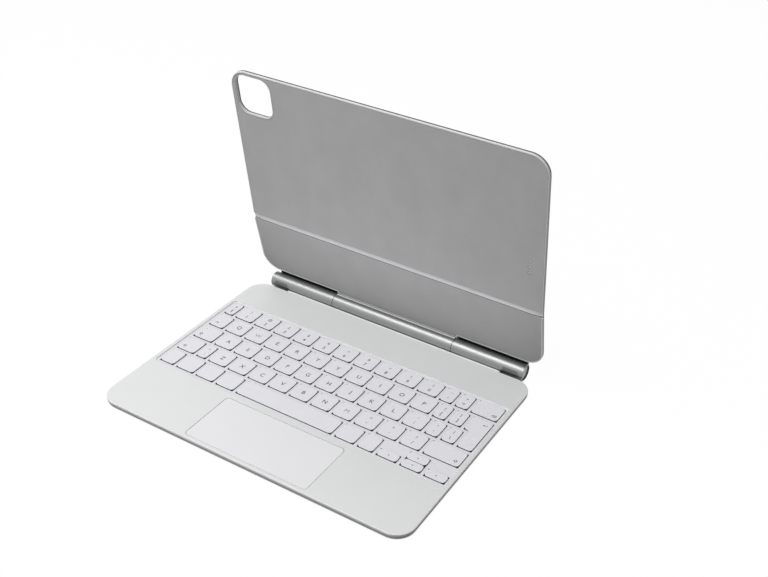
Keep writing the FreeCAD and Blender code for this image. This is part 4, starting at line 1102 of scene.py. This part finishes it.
    def strip(self) -> None:
        """Builds the flexible skin across the crease, its lowest band painted dark as the shade under its
        lower edge.
        """
        flat = LOWER.flat("crease_strip")
        low, high = extent(flat.verts)
        flat.free()
        low.y, high.y = low.y - self.strip_reach[0], high.y + self.strip_reach[1]
        mesh = bmesh.new()
        ops.create_cube(mesh, size=1.0, matrix=box_matrix(low, high))
        for axis, cuts in ((1, self.strip_bands - 1), (0, self.strip_cuts)):
            edges = [e for e in mesh.edges if abs(e.verts[0].co[axis] - e.verts[1].co[axis]) > 10 * TIGHT]
            ops.subdivide_edges(mesh, edges=edges, cuts=cuts, use_grid_fill=True)
        for vert in mesh.verts:
            if vert.co.z > high.z - 10 * TIGHT:
                share = (high.y - vert.co.y) / (high.y - low.y)
                end = min(1.0, (high.x - abs(vert.co.x)) / self.strip_taper)
                vert.co.z += self.strip_lift * share ** 0.8 * end
        ops.recalc_face_normals(mesh, faces=mesh.faces)
        # the lowest band gets the dark finish as painted shade
        shade_band = low.y + (high.y - low.y) / self.strip_bands
        for face in mesh.faces:
            middle = face.calc_center_median()
            face.material_index = int(middle.y < shade_band and middle.z > low.z)
        LOWER.stand(mesh)
        start, end = (tuple(LOWER.frame() @ Vector((0, y, high.z))) for y in (low.y, high.y))
        finishes = (Finish.STRIP, Finish.EDGE)
        piece = publish(mesh, "crease_skin", "", finishes, ["crease_strip"], 50)
        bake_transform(piece)

    def contacts(self) -> None:
        """Builds the round contact pins."""
        flat = UPPER.flat("contact_pins")
        boxes = [extent(island) for island in islands(flat)]
        flat.free()
        mesh = bmesh.new()
        for low, high in boxes:
            pin = bmesh.new()
            ops.create_cone(pin, cap_ends=True, segments=self.pin_facets, radius1=self.pin_radius,
                                  radius2=self.pin_radius, depth=high.z - low.z,
                                  matrix=Matrix.Translation((low + high) / 2))
            bevel(pin, [e for e in pin.edges if at_level(e, high.z)], self.pin_dome, 4)
            merge_into(mesh, pin)
        UPPER.stand(mesh)
        publish(mesh, "contacts", "upper_lid", (Finish.CONTACT,), ["contact_pins"], 60)

    def build(self) -> None:
        """Builds the lid."""
        for step in (self.shell, self.lining):
            for panel in (LOWER, UPPER):
                step(panel)
        self.strip()
        self.contacts()


# --- studio


@dataclass
class Studio:
    """Floor, light and camera."""

    eye: Triple = (0.34636, -0.48249, 0.47923)
    right: Triple = (0.85544, 0.51671, 0.03505)
    down: Triple = (0.31682, -0.46857, -0.82466)
    lens: float = 49.88
    sensor: float = 36.0
    shift: Pair = (-0.0346, 0.0304)
    floor_share: float = 0.975
    floor_grey: float = 0.15
    contact: float = 12.0 * MM
    contact_range: Pair = (0.12, 0.42)
    floor_half: float = 3.0
    world_light: float = 0.30

    def camera(self) -> None:
        """Places the camera."""
        right = Vector(self.right).normalized()
        up = -Vector(self.down)
        up = (up - right * up.dot(right)).normalized()
        back = right.cross(up)
        data = bpy.data.cameras.new("camera")
        data.lens = self.lens
        data.sensor_width = self.sensor
        data.shift_x, data.shift_y = self.shift
        data.clip_start, data.clip_end = 0.01, 20.0
        camera = add_object("camera", data)
        turn = Matrix((right, up, back)).transposed().to_4x4()
        camera.matrix_world = Matrix.Translation(self.eye) @ turn
        bpy.context.scene.camera = camera

    def lamp(self, name: str, place: Sequence[float], target: Sequence[float], size: Pair,
             power: float, mirrored: bool = True) -> None:
        """Adds a soft lamp.

        Args:
            name: its name.
            place: where it hangs.
            target: what it points at.
            size: its width and height.
            power: watts.
            mirrored: whether shiny surfaces show it.
        """
        data = bpy.data.lights.new(name, "AREA")
        data.shape = "RECTANGLE"
        data.size, data.size_y = size
        data.energy = power
        lamp = add_object(name, data)
        lamp.location = place
        lamp.visible_glossy = mirrored
        lamp.rotation_mode = "QUATERNION"
        lamp.rotation_quaternion = (Vector(target) - Vector(place)).to_track_quat("-Z", "Y")

    def seen(self, graph: Graph) -> Socket:
        """One for the camera, mirrors and glass, nought for other rays."""
        path = graph.add("ShaderNodeLightPath").outputs
        share = path["Is Camera Ray"]
        for ray in ("Is Glossy Ray", "Is Transmission Ray"):
            share = graph.add("ShaderNodeMath", {0: share, 1: path[ray]}, use_clamp=True).outputs[0]
        return share

    def floor(self) -> None:
        """Lays the plain pale floor; its white glow for the camera is dimmed by painted contact shadow close
        to the case.
        """
        mesh = bmesh.new()
        ops.create_grid(mesh, x_segments=1, y_segments=1, size=self.floor_half)
        data = to_data(mesh, "floor")
        graph = Graph(bpy.data.materials.new("floor_white"))
        seen = self.seen(graph)
        pale = graph.add("ShaderNodeBsdfDiffuse", {"Color": WHITE})
        # painted contact shadow: the glow dims where the case comes close
        close = graph.add("ShaderNodeAmbientOcclusion", {"Distance": self.contact}, samples=16).outputs["AO"]
        open_air = graph.stretch(close, self.contact_range, (0.0, 1.0))
        bright = graph.add("ShaderNodeEmission", {"Color": WHITE, "Strength": open_air})
        shown = graph.mix(self.floor_share, pale, bright)
        bounce = graph.add("ShaderNodeBsdfDiffuse", {"Color": (*[self.floor_grey] * 3, 1.0)})
        data.materials.append(graph.finish(graph.mix(seen, bounce, shown)))
        add_object("floor", data)

    def world(self) -> None:
        """Sets the even light all round and the white behind."""
        world = bpy.data.worlds.new("studio")
        bpy.context.scene.world = world
        graph = Graph(world)
        light = graph.add("ShaderNodeBackground", {"Color": WHITE, "Strength": self.world_light})
        white = graph.add("ShaderNodeBackground", {"Color": WHITE, "Strength": 1.0})
        graph.finish(graph.mix(self.seen(graph), light, white), "World")

    def build(self) -> None:
        """Builds the studio."""
        bpy.context.scene.view_settings.view_transform = "Standard"
        self.camera()
        self.floor()
        self.world()
        self.lamp("key", (-0.27, -0.46, 1.22), (-0.05, 0.03, 0.03), (1.4, 0.5), 13.6)
        self.lamp("fill", (-0.75, -0.75, 0.30), (0, 0.05, 0.1), (0.7, 0.4), 2.6, False)


def main() -> None:
    """Builds every sub-assembly in turn."""
    logging.basicConfig(level=logging.INFO, format="%(name)s %(message)s")
    for assembly in (Inside(), Base(), KeyField(), Barrel(), Lid(), Studio()):
        log.info("building %s", type(assembly).__name__)
        assembly.build()


if __name__ == "__main__":
    main()
